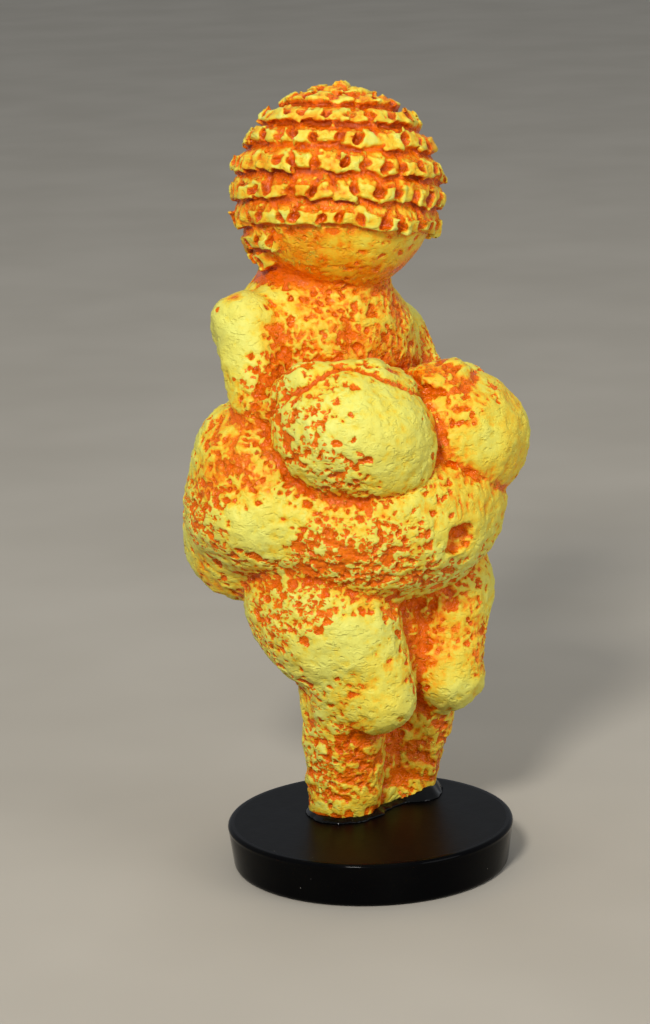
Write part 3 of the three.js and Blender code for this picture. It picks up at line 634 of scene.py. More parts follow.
pit_a, deep_a = cells(P, (1.45, 1.45, 1.15), 301, pit_share)
pit_b, deep_b = cells(P, (2.3, 2.3, 1.05), 333, pit_share, amount=0.5, walls=0.12)
pit_c, deep_c = cells(P, (0.9, 0.9, 0.8), 361, pit_share, amount=0.6, walls=0.1)
pit = np.maximum(pit_a, np.maximum(pit_b, pit_c))
deep = np.where(pit_c >= np.maximum(pit_a, pit_b), 0.5 * deep_c, np.where(pit_a > pit_b, deep_a, 0.85 * deep_b))
pit = pit * (1 - cap) - 0.8 * cap
print("pits %.1f" % (time.time() - T0))

f1, f2 = scoops(P, 3.4, 401)
g1, g2 = scoops(P, 1.7, 431)
k1, k2 = scoops(P, 7.5, 441)
e1, e2 = scoops(P + 0.5 * np.stack([noise(P, 1.8, 445 + a) for a in range(3)], 1).astype(F4), 2.7, 444)
ridge = np.exp(-((e2 - e1) / 0.14) ** 2) * (0.3 + 1.3 * noise(P, 3.1, 448)).clip(0, 1)
knap = 0.50 * (k1 - 0.45) + 0.42 * (f1 - 0.45) + 0.36 * (g1 - 0.45) + 0.20 * ridge
arm_band = on_forearm(P)
knap = knap * (1 - 0.5 * arm_band)
lumps = 0.50 * noise(P, 11.0, 451) + 0.26 * noise(P, 5.5, 452) + 0.12 * noise(P, 2.6, 453)
band = np.exp(-((P[:, 2] - 61.0) / 4.5) ** 2) * ramp(-P[:, 1], 0, 10) * (np.abs(P[:, 0]) < 34)
wrinkle = -(1 - np.abs(noise(P, (6.0, 6.0, 1.5), 461)) * 2.4).clip(0, 1) * 0.30 * band
strokes = zone(P, [(-4.8, -26.2, 72.3, 7, 1), (6, -25, 72, 6, 1), (12, -24, 60, 6, 0.7)])
drag = -(1 - np.abs(noise(P, (1.2, 1.2, 8.0), 471)) * 2.6).clip(0, 1) * 0.20 * strokes
fingers = finger_lines(P)
# gashes dragged across the lower face, and long strokes down the shins
gash = (1 - np.abs(noise(P, (6.0, 6.0, 1.2), 591)) * 4.2).clip(0, 1) * (0.05 + 1.7 * noise(P, (3.5, 3.5, 1.6), 592)).clip(0, 1)
gash = gash * face
shin = 1 - ramp(P[:, 2], 28, 36)
u_tilt = np.stack([P[:, 2], P[:, 2] * 0, P[:, 0]], 1).astype(F4)
down = (noise(P + 0.3 * u_tilt, (3.2, 3.2, 1.7), 593) * 5.0 - 0.55).clip(0, 1) * shin
# thin raised veins, as the coat dried over the rough casting
W = P + 0.55 * np.stack([noise(P, 1.9, 541 + a) for a in range(3)], 1)
vein = np.maximum(1 - np.abs(noise(W, (2.6, 2.6, 2.0), 551)) / 0.26, 1 - np.abs(noise(W, (1.9, 1.9, 2.8), 552)) / 0.34).clip(0, 1) * (0.55 + 0.9 * noise(P, 2.4, 553)).clip(0, 1.2)
golden = zone(P, GOLDEN)
veiny = np.clip(0.12 + 1.3 * golden + 0.9 * wash + 0.5 * np.clip(h3, 0, 1) - 0.8 * zone(P, CLEAN), 0, 1) * skin
beside_arm = np.exp(-((P[:, 2] - 97.0) / 6.0) ** 2) * ramp(-P[:, 1], 10, 13)
seams = seams * np.maximum((0.62 + 0.8 * noise(P, 5.0, 561) + 0.5 * noise(P, 2.2, 562)).clip(0.12, 1.1), 0.85 * beside_arm)
rim = 0.07 * np.exp(-((pit + 0.25) / 0.2) ** 2)
pits = -(0.28 + 0.30 * deep) * ramp(pit, -0.06, 0.28)
hollows = -0.40 * np.clip(wash, 0, 1.2) * (1 + 0.8 * noise(P, 3.0, 477))
fine = 0.03 * noise(P, 0.9, 481) + 0.05 * noise(P, (1.3, 1.3, 2.8), 482) + 0.06 * noise(P, (2.6, 2.6, 1.2), 483)
cap_fine = 0.12 * noise(P, 1.7, 491) + 0.08 * noise(P, 0.85, 492)
out = skin * (knap + rim + pits + fine + hollows) + (1 - cap) * (lumps * (1 - 0.4 * face)) + wrinkle + drag - 0.5 * fingers + cap * cap_fine + 0.25 * lumps * cap
out = out - 0.30 * seams + 0.36 * vein * veiny - 0.20 * gash - 0.22 * down
out = out * (1 - 0.5 * foot)
P1 = (P + N * out[:, None]).astype(F4)
P1[:, 2] = np.maximum(P1[:, 2], DISC_H + 0.02)

# how much each place stands proud of what is round it, in mm: the dry brush only reaches what stands proud
nb = edge_sums(P1, Q)
S1 = smoothed(P1.astype(np.float64), nb, 8)
S2 = smoothed(S1, nb, 50)
Ns = normals_of(P1, Q)
proud_fine = ((P1 - S1) * Ns).sum(1)
proud = ((P1 - S2) * N).sum(1)
print("relief %.1f  fine %.3f..%.3f  proud %.3f..%.3f" % (time.time() - T0, *np.percentile(proud_fine, [3, 97]), *np.percentile(proud, [3, 97])))

# how bare of yellow each place is: about 0 where the brush laid it on thick, 0.5 where it is thin and amber, 1 where the orange coat lies bare
patchy = 0.7 + 0.75 * noise(P, 3.4, 571) + 0.45 * noise(P, 1.7, 572)
bare = (0.17 + 0.20 * golden + (0.62 * np.clip(h3, -0.1, 1) + 0.30 * np.clip(h7, -0.1, 1) + 0.52 * wash) * patchy.clip(0.15, 1.35) + (0.45 + 0.35 * beside_arm) * seams + 0.75 * fingers
        - 0.45 * np.clip(proud, -0.6, 0.6) - 2.0 * np.clip(proud_fine, -0.25, 0.25) - 0.55 * vein * veiny
        + 0.15 * noise(P, 8.0, 501) + 0.13 * noise(P, 3.2, 502) + 0.09 * noise(P, 1.5, 503) - 0.22 * zone(P, CLEAN)
        + (0.50 * down + 0.10 * noise(P, (4.0, 4.0, 6.0), 595)) * shin)
bare = np.where(bare > 0.8, 0.8 + 0.35 * (bare - 0.8), bare)
# the face turns more orange towards the chin and a little yellower up by the cap: partly the paint's amber, partly
# painted shade where the face turns down towards the chest
bare_face = 0.25 - 0.08 * ramp(P[:, 2], 117, 123) + 0.5 * np.clip(h3, 0, 1) + 0.16 * noise(P, (5.0, 5.0, 2.5), 511) + 0.12 * noise(P, (2.2, 2.2, 1.1), 512) - 0.9 * np.clip(proud_fine, -0.2, 0.2) + 0.42 * (1 - ramp(P[:, 2], 112, 121)) + 0.32 * ramp(-P[:, 0], 7, 16) + 0.26 * gash
bare = bare + (bare_face - bare) * face
on_plate = ramp(cap_out + 0.35 * noise(P, 2.0, 524), 1.15, 1.7)
bare_cap = (0.68 - 0.26 * ramp(cap_out, -0.4, 0.8)) * (1 - on_plate) + 0.34 * on_plate + 0.72 * np.clip(h15 - 0.15, 0, 0.7) + 0.22 * np.clip(h3 - 0.3, 0, 0.6) - 1.3 * np.clip(proud_fine, -0.2, 0.25) + 0.16 * noise(P, 3.0, 521) + (0.12 + 0.16 * on_plate) * noise(P, 1.3, 522)
bare = bare + (bare_cap - bare) * cap
bare = bare + 0.60 * foot * (0.6 + noise(P, 2.0, 531))

# where the thin yellow turns amber
glaze = (0.03 + 1.0 * golden + 0.30 * np.clip(wash, 0, 1) + 0.10 * np.clip(h7, 0, 1) + 0.10 * noise(P, 7.0, 581) + 0.06 * noise(P, 2.8, 582)) * (1 - cap) * (1 - face) + (0.19 + 0.28 * noise(P, 2.4, 583)) * cap + 0.13 * face
dense = pit_share(P, h3) * (1 - cap) * (1 - 0.7 * face) * (1 - 0.7 * arm_band)
attrs = dict(sx=S2[:, 0], sy=S2[:, 1], sz=S2[:, 2], bare=bare, dense=dense, glaze=np.clip(glaze, -0.05, 0.27), pit=pit, pit_deep=deep, cap=cap, face=face, foot=foot, groove=np.clip(h15, 0, 1))


# ------------------------------------------------------------------ placing and thinning the mesh
def place(P):
    return ((P + V(STAND_X, STAND_Y, 0)) / 1000).astype(F4)


def thinned(ob, most):
    n = sum(len(p.vertices) - 2 for p in ob.data.polygons)
    if n > most:
        m = ob.modifiers.new("thin", "DECIMATE")
        m.ratio = most / n
        m.use_collapse_triangulate = True
        dg = bpy.context.evaluated_depsgraph_get()
        new = bpy.data.meshes.new_from_object(ob.evaluated_get(dg))
        ob.modifiers.clear()
        old = ob.data
        ob.data = new
        bpy.data.meshes.remove(old)
        new.name = ob.name
        new.polygons.foreach_set("use_smooth", np.ones(len(new.polygons), bool))
    return ob


def triangles_of(me):
    T = np.empty(len(me.polygons) * 3, np.int32)
    me.polygons.foreach_get("vertices", T)
    return T.reshape(-1, 3)


def beside(T, n):
    """The three faces next to each triangle, or itself at an open edge, and how many edges aren't shared by exactly two."""
    e = np.sort(T[:, [[0, 1], [1, 2], [2, 0]]].reshape(-1, 2), 1).astype(np.int64)
    key = e[:, 0] * n + e[:, 1]
    order = np.argsort(key, kind="stable")
    k = key[order]
    face = np.arange(len(key)) // 3
    out = face.copy()
    same = np.where(k[1:] == k[:-1])[0]
    out[order[same]], out[order[same + 1]] = face[order[same + 1]], face[order[same]]
    counts = np.unique(key, return_counts=True)[1]
    return out.reshape(-1, 3), [int((counts == 1).sum()), int((counts > 2).sum())]


def without_crumbs(me):
    """Takes off any small bits that the thinning left loose, or hanging on by a single point."""
    T = triangles_of(me)
    near, _ = beside(T, len(me.vertices))
    who = joined(len(T), np.repeat(np.arange(len(T)), 3), near.ravel())
    ids, count = np.unique(who, return_counts=True)
    drop = np.where(who != ids[count.argmax()])[0]
    if len(drop):
        bm = bmesh.new()
        bm.from_mesh(me)
        bm.faces.ensure_lookup_table()
        bmesh.ops.delete(bm, geom=[bm.faces[i] for i in drop.tolist()], context="FACES")
        bm.to_mesh(me)
        bm.free()
    return len(ids) - 1


def without_doubles(me):
    """Takes off pairs of triangles that lie back to back on the same three points."""
    T = np.sort(triangles_of(me), 1)
    kinds, which, count = np.unique(T, axis=0, return_inverse=True, return_counts=True)
    drop = np.where((count[which.ravel()] > 1) | (T[:, 0] == T[:, 1]) | (T[:, 1] == T[:, 2]))[0]
    if len(drop):
        bm = bmesh.new()
        bm.from_mesh(me)
        bm.faces.ensure_lookup_table()
        bmesh.ops.delete(bm, geom=[bm.faces[i] for i in drop.tolist()], context="FACES")
        bm.to_mesh(me)
        bm.free()
    return len(drop)


def packed(uv, isle, n, G=256):
    """Lays n islands of triangles, given in mm, close together on the unit square, and returns the new uv."""
    turns = [np.array(m, float) for m in (((1, 0), (0, 1)), ((0, -1), (1, 0)), ((-1, 0), (0, -1)), ((0, 1), (-1, 0)))]
    order = np.argsort(isle, kind="stable")
    cuts = np.searchsorted(isle[order], np.arange(n + 1))
    spots = []
    for k in range(n):
        c = uv[order[cuts[k]:cuts[k + 1]]]
        c = np.concatenate([c, c.mean(1, keepdims=True)], 1).reshape(-1, 2)
        spots.append([(c @ m) - (c @ m).min(0) for m in turns])
    size = np.array([s[0].max(0).prod() for s in spots])
    t = uv
    whole = np.abs((t[:, 1, 0] - t[:, 0, 0]) * (t[:, 2, 1] - t[:, 0, 1]) - (t[:, 2, 0] - t[:, 0, 0]) * (t[:, 1, 1] - t[:, 0, 1])).sum() / 2

    def attempt(s):
        taken = np.zeros((G, G), F4)
        found = [None] * n
        for k in np.argsort(-size):
            ft = np.fft.rfft2(taken)
            best = None
            for r in range(4):
                at = np.floor(spots[k][r] * s).astype(int) + 1
                w, h = at.max(0) + 2
                if w > G or h > G:
                    continue
                m = np.zeros((G, G), F4)
                m[at[:, 1], at[:, 0]] = 1
                wide = m.copy()
                wide[1:] = np.maximum(wide[1:], m[:-1])
                wide[:-1] = np.maximum(wide[:-1], m[1:])
                wide[:, 1:] = np.maximum(wide[:, 1:], wide[:, :-1].copy())
                wide[:, :-1] = np.maximum(wide[:, :-1], wide[:, 1:].copy())
                hit = np.fft.irfft2(ft * np.conj(np.fft.rfft2(wide)), s=(G, G))[:G - h + 1, :G - w + 1] < 0.5
                free = np.flatnonzero(hit)
                if len(free):
                    y, x = divmod(int(free[0]), G - w + 1)
                    if best is None or y + h < best[0]:
                        best = (y + h, y, x, r, m)
            if best is None:
                return None
            top, y, x, r, m = best
            taken = np.maximum(taken, np.roll(m, (y, x), (0, 1)))
            found[k] = (x, y, r)
        return found

    lo, hi, got = 0.40, 0.86, None
    for _ in range(7):
        fill = (lo + hi) / 2 if got else lo
        s = math.sqrt(fill / whole) * G
        f = attempt(s)
        if f:
            got, lo = (s, f, fill), fill
        elif got is None:
            lo *= 0.8
        else:
            hi = fill
    s, found, fill = got
    out = np.empty_like(uv)
    for k in range(n):
        x, y, r = found[k]
        rows = order[cuts[k]:cuts[k + 1]]
        c = uv[rows] @ turns[r]
        low = np.concatenate([uv[rows], uv[rows].mean(1, keepdims=True)], 1).reshape(-1, 2) @ turns[r]
        out[rows] = ((c - low.min(0)) * s + 1 + (x, y)) / G
    return out, fill


def chart(ob):
    """A flat layout of the surface in a few dozen large pieces: each mass of the figure is drawn along the nearest of six directions."""
    me = ob.data
    T = triangles_of(me)
    n = len(me.vertices)
    S = np.empty((n, 3))
    for k, a in enumerate(("sx", "sy", "sz")):
        col = np.empty(n, F4)
        me.attributes[a].data.foreach_get("value", col)
        S[:, k] = col
    near, loose = beside(T, n)
    bits = joined(len(T), np.repeat(np.arange(len(T)), 3), near.ravel())
    print("figure bits %d, open edges %d, edges with more than two faces %d" % (len(np.unique(bits)), *loose))
    fn = np.cross(S[T[:, 1]] - S[T[:, 0]], S[T[:, 2]] - S[T[:, 0]])
    for _ in range(3):
        vn = np.stack([sum(np.bincount(T[:, j], fn[:, c], n) for j in range(3)) for c in range(3)], 1)
        vn /= np.maximum(np.linalg.norm(vn, axis=1, keepdims=True), 1e-12)
        fn = vn[T].sum(1)
    fn /= np.maximum(np.linalg.norm(fn, axis=1, keepdims=True), 1e-12)
    mid = S[T].mean(1).astype(F4)
    mass = np.zeros(len(T), int)
    body(mid, parts=mass)
    mass[np.isin(mass, (5, 6))] = 6                  # knee and calf
    side = (mid[:, 0] > 0) & (mass > 0) & (mass < 8)
    mass = mass + 10 * side
    up = mid[:, 2] > 112.5
    mass[up] = 20
    dirs = np.array([(1, 0, 0), (-1, 0, 0), (0, 1, 0), (0, -1, 0), (0, 0, 1), (0, 0, -1)], float)
    label = mass * 6 + (fn @ dirs.T).argmax(1)

    def worth(lab):
        return (fn * dirs[lab % 6]).sum(1) - 0.35 * (lab // 6 != mass) + 0.30 * (label[near] == lab[:, None]).sum(1)

    for _ in range(40):
        best, score = label, worth(label)
        for j in range(3):
            cand = label[near[:, j]]
            s = worth(cand)
            best, score = np.where(s > score, cand, best), np.maximum(s, score)
        label = best
    for go in range(14):
        cut = label[near] == label[:, None]
        a = np.repeat(np.arange(len(T)), 3)[cut.ravel()]
        isle = joined(len(T), a, near.ravel()[cut.ravel()])
        ids, isle, count = np.unique(isle, return_inverse=True, return_counts=True)
        small = (count[isle] < 420) & ((isle % 2 == go % 2) | (count[isle] < 40))
        if not (count < 420).any():
            break
        # a small scrap goes over to the neighbour it shares most edges with
        edge = ~cut & small[:, None]
        f, j = np.where(edge)
        pair = isle[f].astype(np.int64) * 200 + label[near[f, j]]
        kinds, times = np.unique(pair, return_counts=True)
        order = np.argsort(times, kind="stable")
        goes = dict(zip((kinds[order] // 200).tolist(), (kinds[order] % 200).tolist()))
        for k, lab in goes.items():
            label[isle == k] = lab
    print("charts %d, smallest %d faces %.1f" % (len(ids), count.min(), time.time() - T0))
    d = label % 6
    along = np.array([(1, 2), (1, 2), (0, 2), (0, 2), (0, 1), (0, 1)])
    flip = np.array([1, -1, -1, 1, 1, -1])
    C = S[T]                                          # faces, corners, xyz
    uv = np.stack([np.take_along_axis(C, along[d][:, None, [0]], 2)[:, :, 0] * flip[d][:, None], np.take_along_axis(C, along[d][:, None, [1]], 2)[:, :, 0]], 2)
    # each island grows by how much more surface its relief has than its outline
    R = np.empty(n * 3, F4)
    me.vertices.foreach_get("co", R)
    R = R.reshape(-1, 3)[T].astype(float) * 1000
    true = np.linalg.norm(np.cross(R[:, 1] - R[:, 0], R[:, 2] - R[:, 0]), axis=1)
    flat = np.abs((uv[:, 1, 0] - uv[:, 0, 0]) * (uv[:, 2, 1] - uv[:, 0, 1]) - (uv[:, 2, 0] - uv[:, 0, 0]) * (uv[:, 1, 1] - uv[:, 0, 1]))
    uv = uv * np.sqrt(np.bincount(isle, true) / np.maximum(np.bincount(isle, flat), 1e-6)).clip(0.8, 2.0)[isle][:, None, None]
    uv, fill = packed(uv, isle, len(ids))
    layer = me.uv_layers.new(name="OFBake")
    layer.uv.foreach_set("vector", uv.reshape(-1).astype(F4))
    me.uv_layers.active = layer
    for a in ("sx", "sy", "sz"):
        me.attributes.remove(me.attributes[a])
    print("chart fills %.3f of %.3f..%.3f %.1f" % (fill, uv.min(), uv.max(), time.time() - T0))


figure = mesh_object("figure_carved", place(P1), Q, attrs)
thinned(figure, MAX_TRIANGLES)
print("doubles taken off", without_doubles(figure.data), "crumbs taken off", without_crumbs(figure.data))
print("mended", figure.data.validate(verbose=True))
chart(figure)
print("figure %d triangles %.1f" % (len(figure.data.polygons), time.time() - T0))


# ------------------------------------------------------------------ materials
def linear(h):
    c = [int(h[i:i + 2], 16) / 255 for i in (1, 3, 5)]
    return tuple(x / 12.92 if x <= 0.04045 else ((x + 0.055) / 1.055) ** 2.4 for x in c) + (1.0,)


class Nodes:
    """Short hand for a node tree."""

    def __init__(self, name):
        self.mat = bpy.data.materials.new(name)
        self.mat.use_nodes = True
        self.t = self.mat.node_tree
        self.t.nodes.clear()
        self.out = self.t.nodes.new("ShaderNodeOutputMaterial")
        self.bsdf = self.t.nodes.new("ShaderNodeBsdfPrincipled")
        self.t.links.new(self.bsdf.outputs[0], self.out.inputs["Surface"])
        self.co = self.t.nodes.new("ShaderNodeTexCoord").outputs["Object"]

    def put(self, a, socket):
        if hasattr(a, "is_output"):
            self.t.links.new(a, socket)
        else:
            socket.default_value = a

    def attr(self, name):
        n = self.t.nodes.new("ShaderNodeAttribute")
        n.attribute_name = name
        return n.outputs["Fac"]

    def math(self, op, a, b=None, c=None, clamp=False):
        n = self.t.nodes.new("ShaderNodeMath")
        n.operation = op
        n.use_clamp = clamp
        for i, v in enumerate((a, b, c)):
            if v is not None:
                self.put(v, n.inputs[i])
        return n.outputs[0]

    def add(self, *v):
        out = v[0]
        for x in v[1:]:
            out = self.math("ADD", out, x)
        return out

    def mul(self, a, b):
        return self.math("MULTIPLY", a, b)

    def largest(self, *v):
        out = v[0]
        for x in v[1:]:
            out = self.math("MAXIMUM", out, x)
        return out

    def step(self, x, a, b, lo=0.0, hi=1.0):
        n = self.t.nodes.new("ShaderNodeMapRange")
        n.interpolation_type = "SMOOTHSTEP"
        self.put(x, n.inputs["Value"])
        self.put(a, n.inputs["From Min"])
        self.put(b, n.inputs["From Max"])
        n.inputs["To Min"].default_value, n.inputs["To Max"].default_value = lo, hi
        return n.outputs["Result"]

    def scaled(self, stretch):
        n = self.t.nodes.new("ShaderNodeMapping")
        self.put(self.co, n.inputs["Vector"])
        n.inputs["Scale"].default_value = stretch
        return n.outputs[0]

    def noise(self, size, detail=2.0, rough=0.5, co=None, warp=0.0, kind=None):
        """Noise with features of about that size in mm, less its mean."""
        n = self.t.nodes.new("ShaderNodeTexNoise")
        if kind:
            n.noise_type = kind
        self.put(co or self.co, n.inputs["Vector"])
        n.inputs["Scale"].default_value = 1000.0 / size
        n.inputs["Detail"].default_value = detail
        n.inputs["Roughness"].default_value = rough
        n.inputs["Distortion"].default_value = warp
        return self.math("SUBTRACT", n.outputs["Fac"], 0.5)

    def voronoi(self, size, feature="F1", co=None, out="Distance"):
        n = self.t.nodes.new("ShaderNodeTexVoronoi")
        n.feature = feature
        self.put(co or self.co, n.inputs["Vector"])
        n.inputs["Scale"].default_value = 1000.0 / size
        return n.outputs[out]

    def mix(self, f, a, b):
        n = self.t.nodes.new("ShaderNodeMix")
        n.data_type = "RGBA"
        self.put(f, n.inputs[0])
        self.put(a, n.inputs[6])
        self.put(b, n.inputs[7])
        return n.outputs[2]

    def bump(self, height, mm, strength=1.0, normal=None):
        n = self.t.nodes.new("ShaderNodeBump")
        n.inputs["Strength"].default_value = strength
        n.inputs["Distance"].default_value = mm / 1000.0
        self.put(height, n.inputs["Height"])
        if normal is not None:
            self.put(normal, n.inputs["Normal"])
        return n.outputs[0]


# the painted figure: a glossy orange coat, and yellow dry-brushed over what stands proud
m = Nodes("figure_paint")
bare_n, dense_n, glaze_n, pit_n, deep_n, cap_n, face_n, cap_groove_shade = [m.attr(a) for a in ("bare", "dense", "glaze", "pit", "pit_deep", "cap", "face", "groove")]
n_big, n_mid, n_small, n_tiny = m.noise(6.0, 3), m.noise(2.2, 3, 0.6), m.noise(0.85, 3, 0.6, warp=0.5), m.noise(0.34, 2, 0.6)
brush = m.noise(0.5, 3, 0.6, m.scaled((1, 1, 0.28)), 0.6)
cross = m.noise(0.5, 3, 0.6, m.scaled((0.35, 0.35, 1.1)), 0.6)
crease = m.step(m.math("ABSOLUTE", m.noise(1.7, 2, 0.5, warp=1.2)), 0.05, 0.0)
crease = m.mul(crease, m.step(m.noise(1.6, 1, 0.5, warp=0.3), 0.0, 0.12))
fold = m.step(m.math("ABSOLUTE", m.noise(1.6, 1, 0.5, m.scaled((1, 1, 1.8)), 0.7)), 0.16, 0.0)
fold = m.mul(fold, m.step(m.noise(2.6, 1, 0.5), 0.02, 0.14))
dent = m.step(m.noise(1.5, 1, 0.5, m.scaled((1, 1, 1.5)), 0.4), 0.06, 0.24)

# small openings finer than the mesh: some of the cells of a fine pattern, more of them where the coat is pitted
flat = m.scaled((1, 1, 1.55))
chance, rim_n = m.voronoi(0.95, "F1", flat, "Color"), m.voronoi(0.95, "DISTANCE_TO_EDGE", flat)
limit = m.add(0.18, m.mul(dense_n, 0.34))
specks = m.mul(m.step(m.math("SUBTRACT", limit, chance), 0.0, 0.02), m.step(m.add(rim_n, m.mul(n_tiny, 0.25)), 0.05, 0.13))
specks = m.mul(specks, m.step(m.add(dense_n, m.mul(n_mid, 0.5)), 0.24, 0.34))

edge = m.add(pit_n, m.mul(n_small, 0.50), m.mul(n_tiny, 0.20))
pit_open = m.step(edge, -0.03, 0.08)
calm = m.add(1.0, m.mul(face_n, -0.55))
score = m.add(bare_n, m.mul(n_mid, 0.34), m.mul(m.add(m.mul(n_small, 0.50), m.mul(n_tiny, 0.26), m.mul(brush, 0.26), m.mul(cross, 0.26), m.mul(fold, -0.10)), calm))
string = m.mul(crease, m.step(bare_n, 0.34, 0.58))
score = m.add(score, m.mul(string, -0.40))
lip = m.step(edge, -0.50, 0.0, 0.0, 0.16)
# the brush leaves a crisp edge, with softer amber on either side of it
laid = m.step(score, 0.48, 0.58)
soft = m.largest(face_n, m.mul(cap_n, 0.85), m.mul(m.step(glaze_n, 0.08, 0.26), 0.7))
score = m.add(m.mul(score, m.add(0.62, m.mul(soft, 0.25))), m.mul(laid, m.add(0.36, m.mul(soft, -0.24))), m.mul(glaze_n, m.add(1.0, m.mul(laid, -0.8))), lip)
score = m.largest(score, m.mul(glaze_n, m.mul(m.add(1.25, m.mul(n_mid, 1.8), m.mul(n_small, 1.0)), m.add(1.0, m.mul(cap_n, -1.0)))))
score = m.largest(score, m.mul(specks, 0.76))
# deeper pits take a darker orange: painted shade in their hollows
in_pit = m.add(0.72, m.mul(deep_n, 0.16), m.mul(n_mid, 0.3), m.mul(n_small, 0.25))
score = m.largest(score, m.mul(pit_open, in_pit))
score = m.math("MINIMUM", score, m.add(1.12, m.mul(glaze_n, m.add(-0.6, m.mul(cap_n, 0.6)))))
# the cap's grooves are pushed on into dark red-brown: painted shade under the rows of plates
score = m.add(score, m.mul(m.mul(m.step(cap_groove_shade, 0.35, 0.9), cap_n), 0.10))


def ramp_of(x, stops):
    n = m.t.nodes.new("ShaderNodeValToRGB")
    m.put(x, n.inputs[0])
    e = n.color_ramp.elements
    while len(e) < len(stops):
        e.new(0.5)
    for k, (pos, c) in enumerate(stops):
        e[k].position = pos
        e[k].color = linear(c)
    return n.outputs[0]


# positions are score / 1.5; from yellow through amber to orange is the paint, while the last two stops, deeper orange
# and dark red-brown, are painted shade in the deepest pits and the cap's grooves
col = ramp_of(m.math("DIVIDE", score, 1.5, clamp=True), [
    (0.00, "#DCDA6A"), (0.15, "#E1D14C"), (0.25, "#E7C233"), (0.34, "#EBAC1E"), (0.41, "#EE930E"), (0.48, "#EF7C05"), (0.58, "#E96E02"), (0.72, "#DC5E01"), (0.86, "#9C3600")])
green = m.mix(m.step(m.add(n_big, m.mul(n_mid, 0.5)), -0.22, 0.28), linear("#FFFFFF"), linear("#FFEFC0"))
mul = m.t.nodes.new("ShaderNodeMix")
mul.data_type, mul.blend_type = "RGBA", "MULTIPLY"
mul.inputs[0].default_value = 0.4
m.put(col, mul.inputs[6])
m.put(green, mul.inputs[7])
col = mul.outputs[2]
# painted shade: the colour is darkened to olive along the raised brush strokes, standing in for the shade lines of
# their fine relief
stroke_shade = m.t.nodes.new("ShaderNodeMix")
stroke_shade.data_type, stroke_shade.blend_type = "RGBA", "MULTIPLY"
m.put(m.mul(m.step(m.add(brush, cross), 0.14, 0.40), 0.26), stroke_shade.inputs[0])
m.put(col, stroke_shade.inputs[6])
stroke_shade.inputs[7].default_value = linear("#D9C07A")
m.put(stroke_shade.outputs[2], m.bsdf.inputs["Base Color"])
wet = m.step(score, 0.52, 0.80)
m.put(m.add(m.mul(wet, -0.34), m.mul(face_n, -0.10), m.mul(n_mid, 0.10), m.mul(n_small, 0.06), 0.52), m.bsdf.inputs["Roughness"])
m.bsdf.inputs["Specular IOR Level"].default_value = 0.28
lively = m.add(m.mul(n_small, 0.95), m.mul(n_mid, 1.5), m.mul(n_tiny, 0.22))
relief = m.add(m.mul(string, 0.55), m.mul(fold, 0.26), m.mul(dent, -0.45), m.mul(m.add(m.mul(brush, 0.28), m.mul(cross, 0.28), m.mul(n_small, 0.28), m.mul(n_tiny, 0.12)), calm), m.mul(laid, -0.40), m.mul(wet, lively), m.mul(m.largest(pit_open, specks), -0.34))
m.put(m.bump(relief, 0.30, 1.0), m.bsdf.inputs["Normal"])
figure.data.materials.clear()
figure.data.materials.append(m.mat)
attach(figure, "root")
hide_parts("figure")


# ------------------------------------------------------------------ the disc
def lathe(name, profile, segments, wobble=0.0, seed=1):
    pts = np.array(profile, float)
    ang = np.linspace(0, 2 * math.pi, segments, endpoint=False)
    rows, V_, F_ = [], [], []
    for r, z in pts:
        if r < 1e-6:
            V_.append((0, 0, z))
            rows.append([len(V_) - 1] * segments)
        else:
            base = len(V_)
            for a in ang:
                k = r * (1 + wobble * math.sin(3 * a + seed) * 0.5 + wobble * math.sin(7 * a + 2 * seed) * 0.3)
                V_.append((k * math.cos(a), k * math.sin(a), z))
            rows.append(list(range(base, base + segments)))
    for i in range(len(rows) - 1):
        for j in range(segments):
            k = (j + 1) % segments
            q = [rows[i][j], rows[i][k], rows[i + 1][k], rows[i + 1][j]]
            q = [v for n_, v in enumerate(q) if v not in q[:n_]]
            if len(q) > 2:
                F_.append(q)
    me = bpy.data.meshes.new(name)
    me.from_pydata([tuple(c / 1000 for c in v) for v in V_], [], F_)
    me.update()
    me.polygons.foreach_set("use_smooth", np.ones(len(me.polygons), bool))
    ob = bpy.data.objects.new(name, me)
    bpy.context.scene.collection.objects.link(ob)
    return ob


def arc(cx, cz, r, a0, a1, n):
    return [(cx + r * math.cos(rad(a0 + (a1 - a0) * i / n)), cz + r * math.sin(rad(a0 + (a1 - a0) * i / n))) for i in range(n + 1)]


side = [(26.72 + (27.62 - 26.72) * t, 1.1 + (7.9 - 1.1) * t) for t in [i / 14 for i in range(15)]]
profile = [(0, 0.0), (12, 0.0), (22, 0.0), (25.3, 0.0)] + arc(25.55, 1.15, 1.15, -90, -8, 8)[0:8] + side + arc(26.95, 7.98, 0.72, 0, 90, 8)
profile += [(26.2, 8.71), (25, 8.70), (22, 8.69), (17, 8.69), (11, 8.70), (5, 8.70), (0, 8.70)]
disc = lathe("base_disc_black", profile, 192, 0.0016)

d = Nodes("disc_black")
d.n1, d.n2, d.n3 = d.noise(14.0, 3), d.noise(2.5, 3, 0.6), d.noise(0.5, 2)
specks = d.step(d.voronoi(2.6), 0.055, 0.03)
specks = d.mul(specks, d.step(d.noise(5.0, 2), 0.02, 0.12))
col = d.mix(d.step(d.n1, -0.2, 0.25), linear("#030304"), linear("#070707"))
col = d.mix(d.mul(specks, 0.6), col, linear("#8C8880"))
d.put(col, d.bsdf.inputs["Base Color"])
out_r = d.t.nodes.new("ShaderNodeVectorMath")
out_r.operation = "LENGTH"
d.put(d.scaled((1, 1, 0)), out_r.inputs[0])
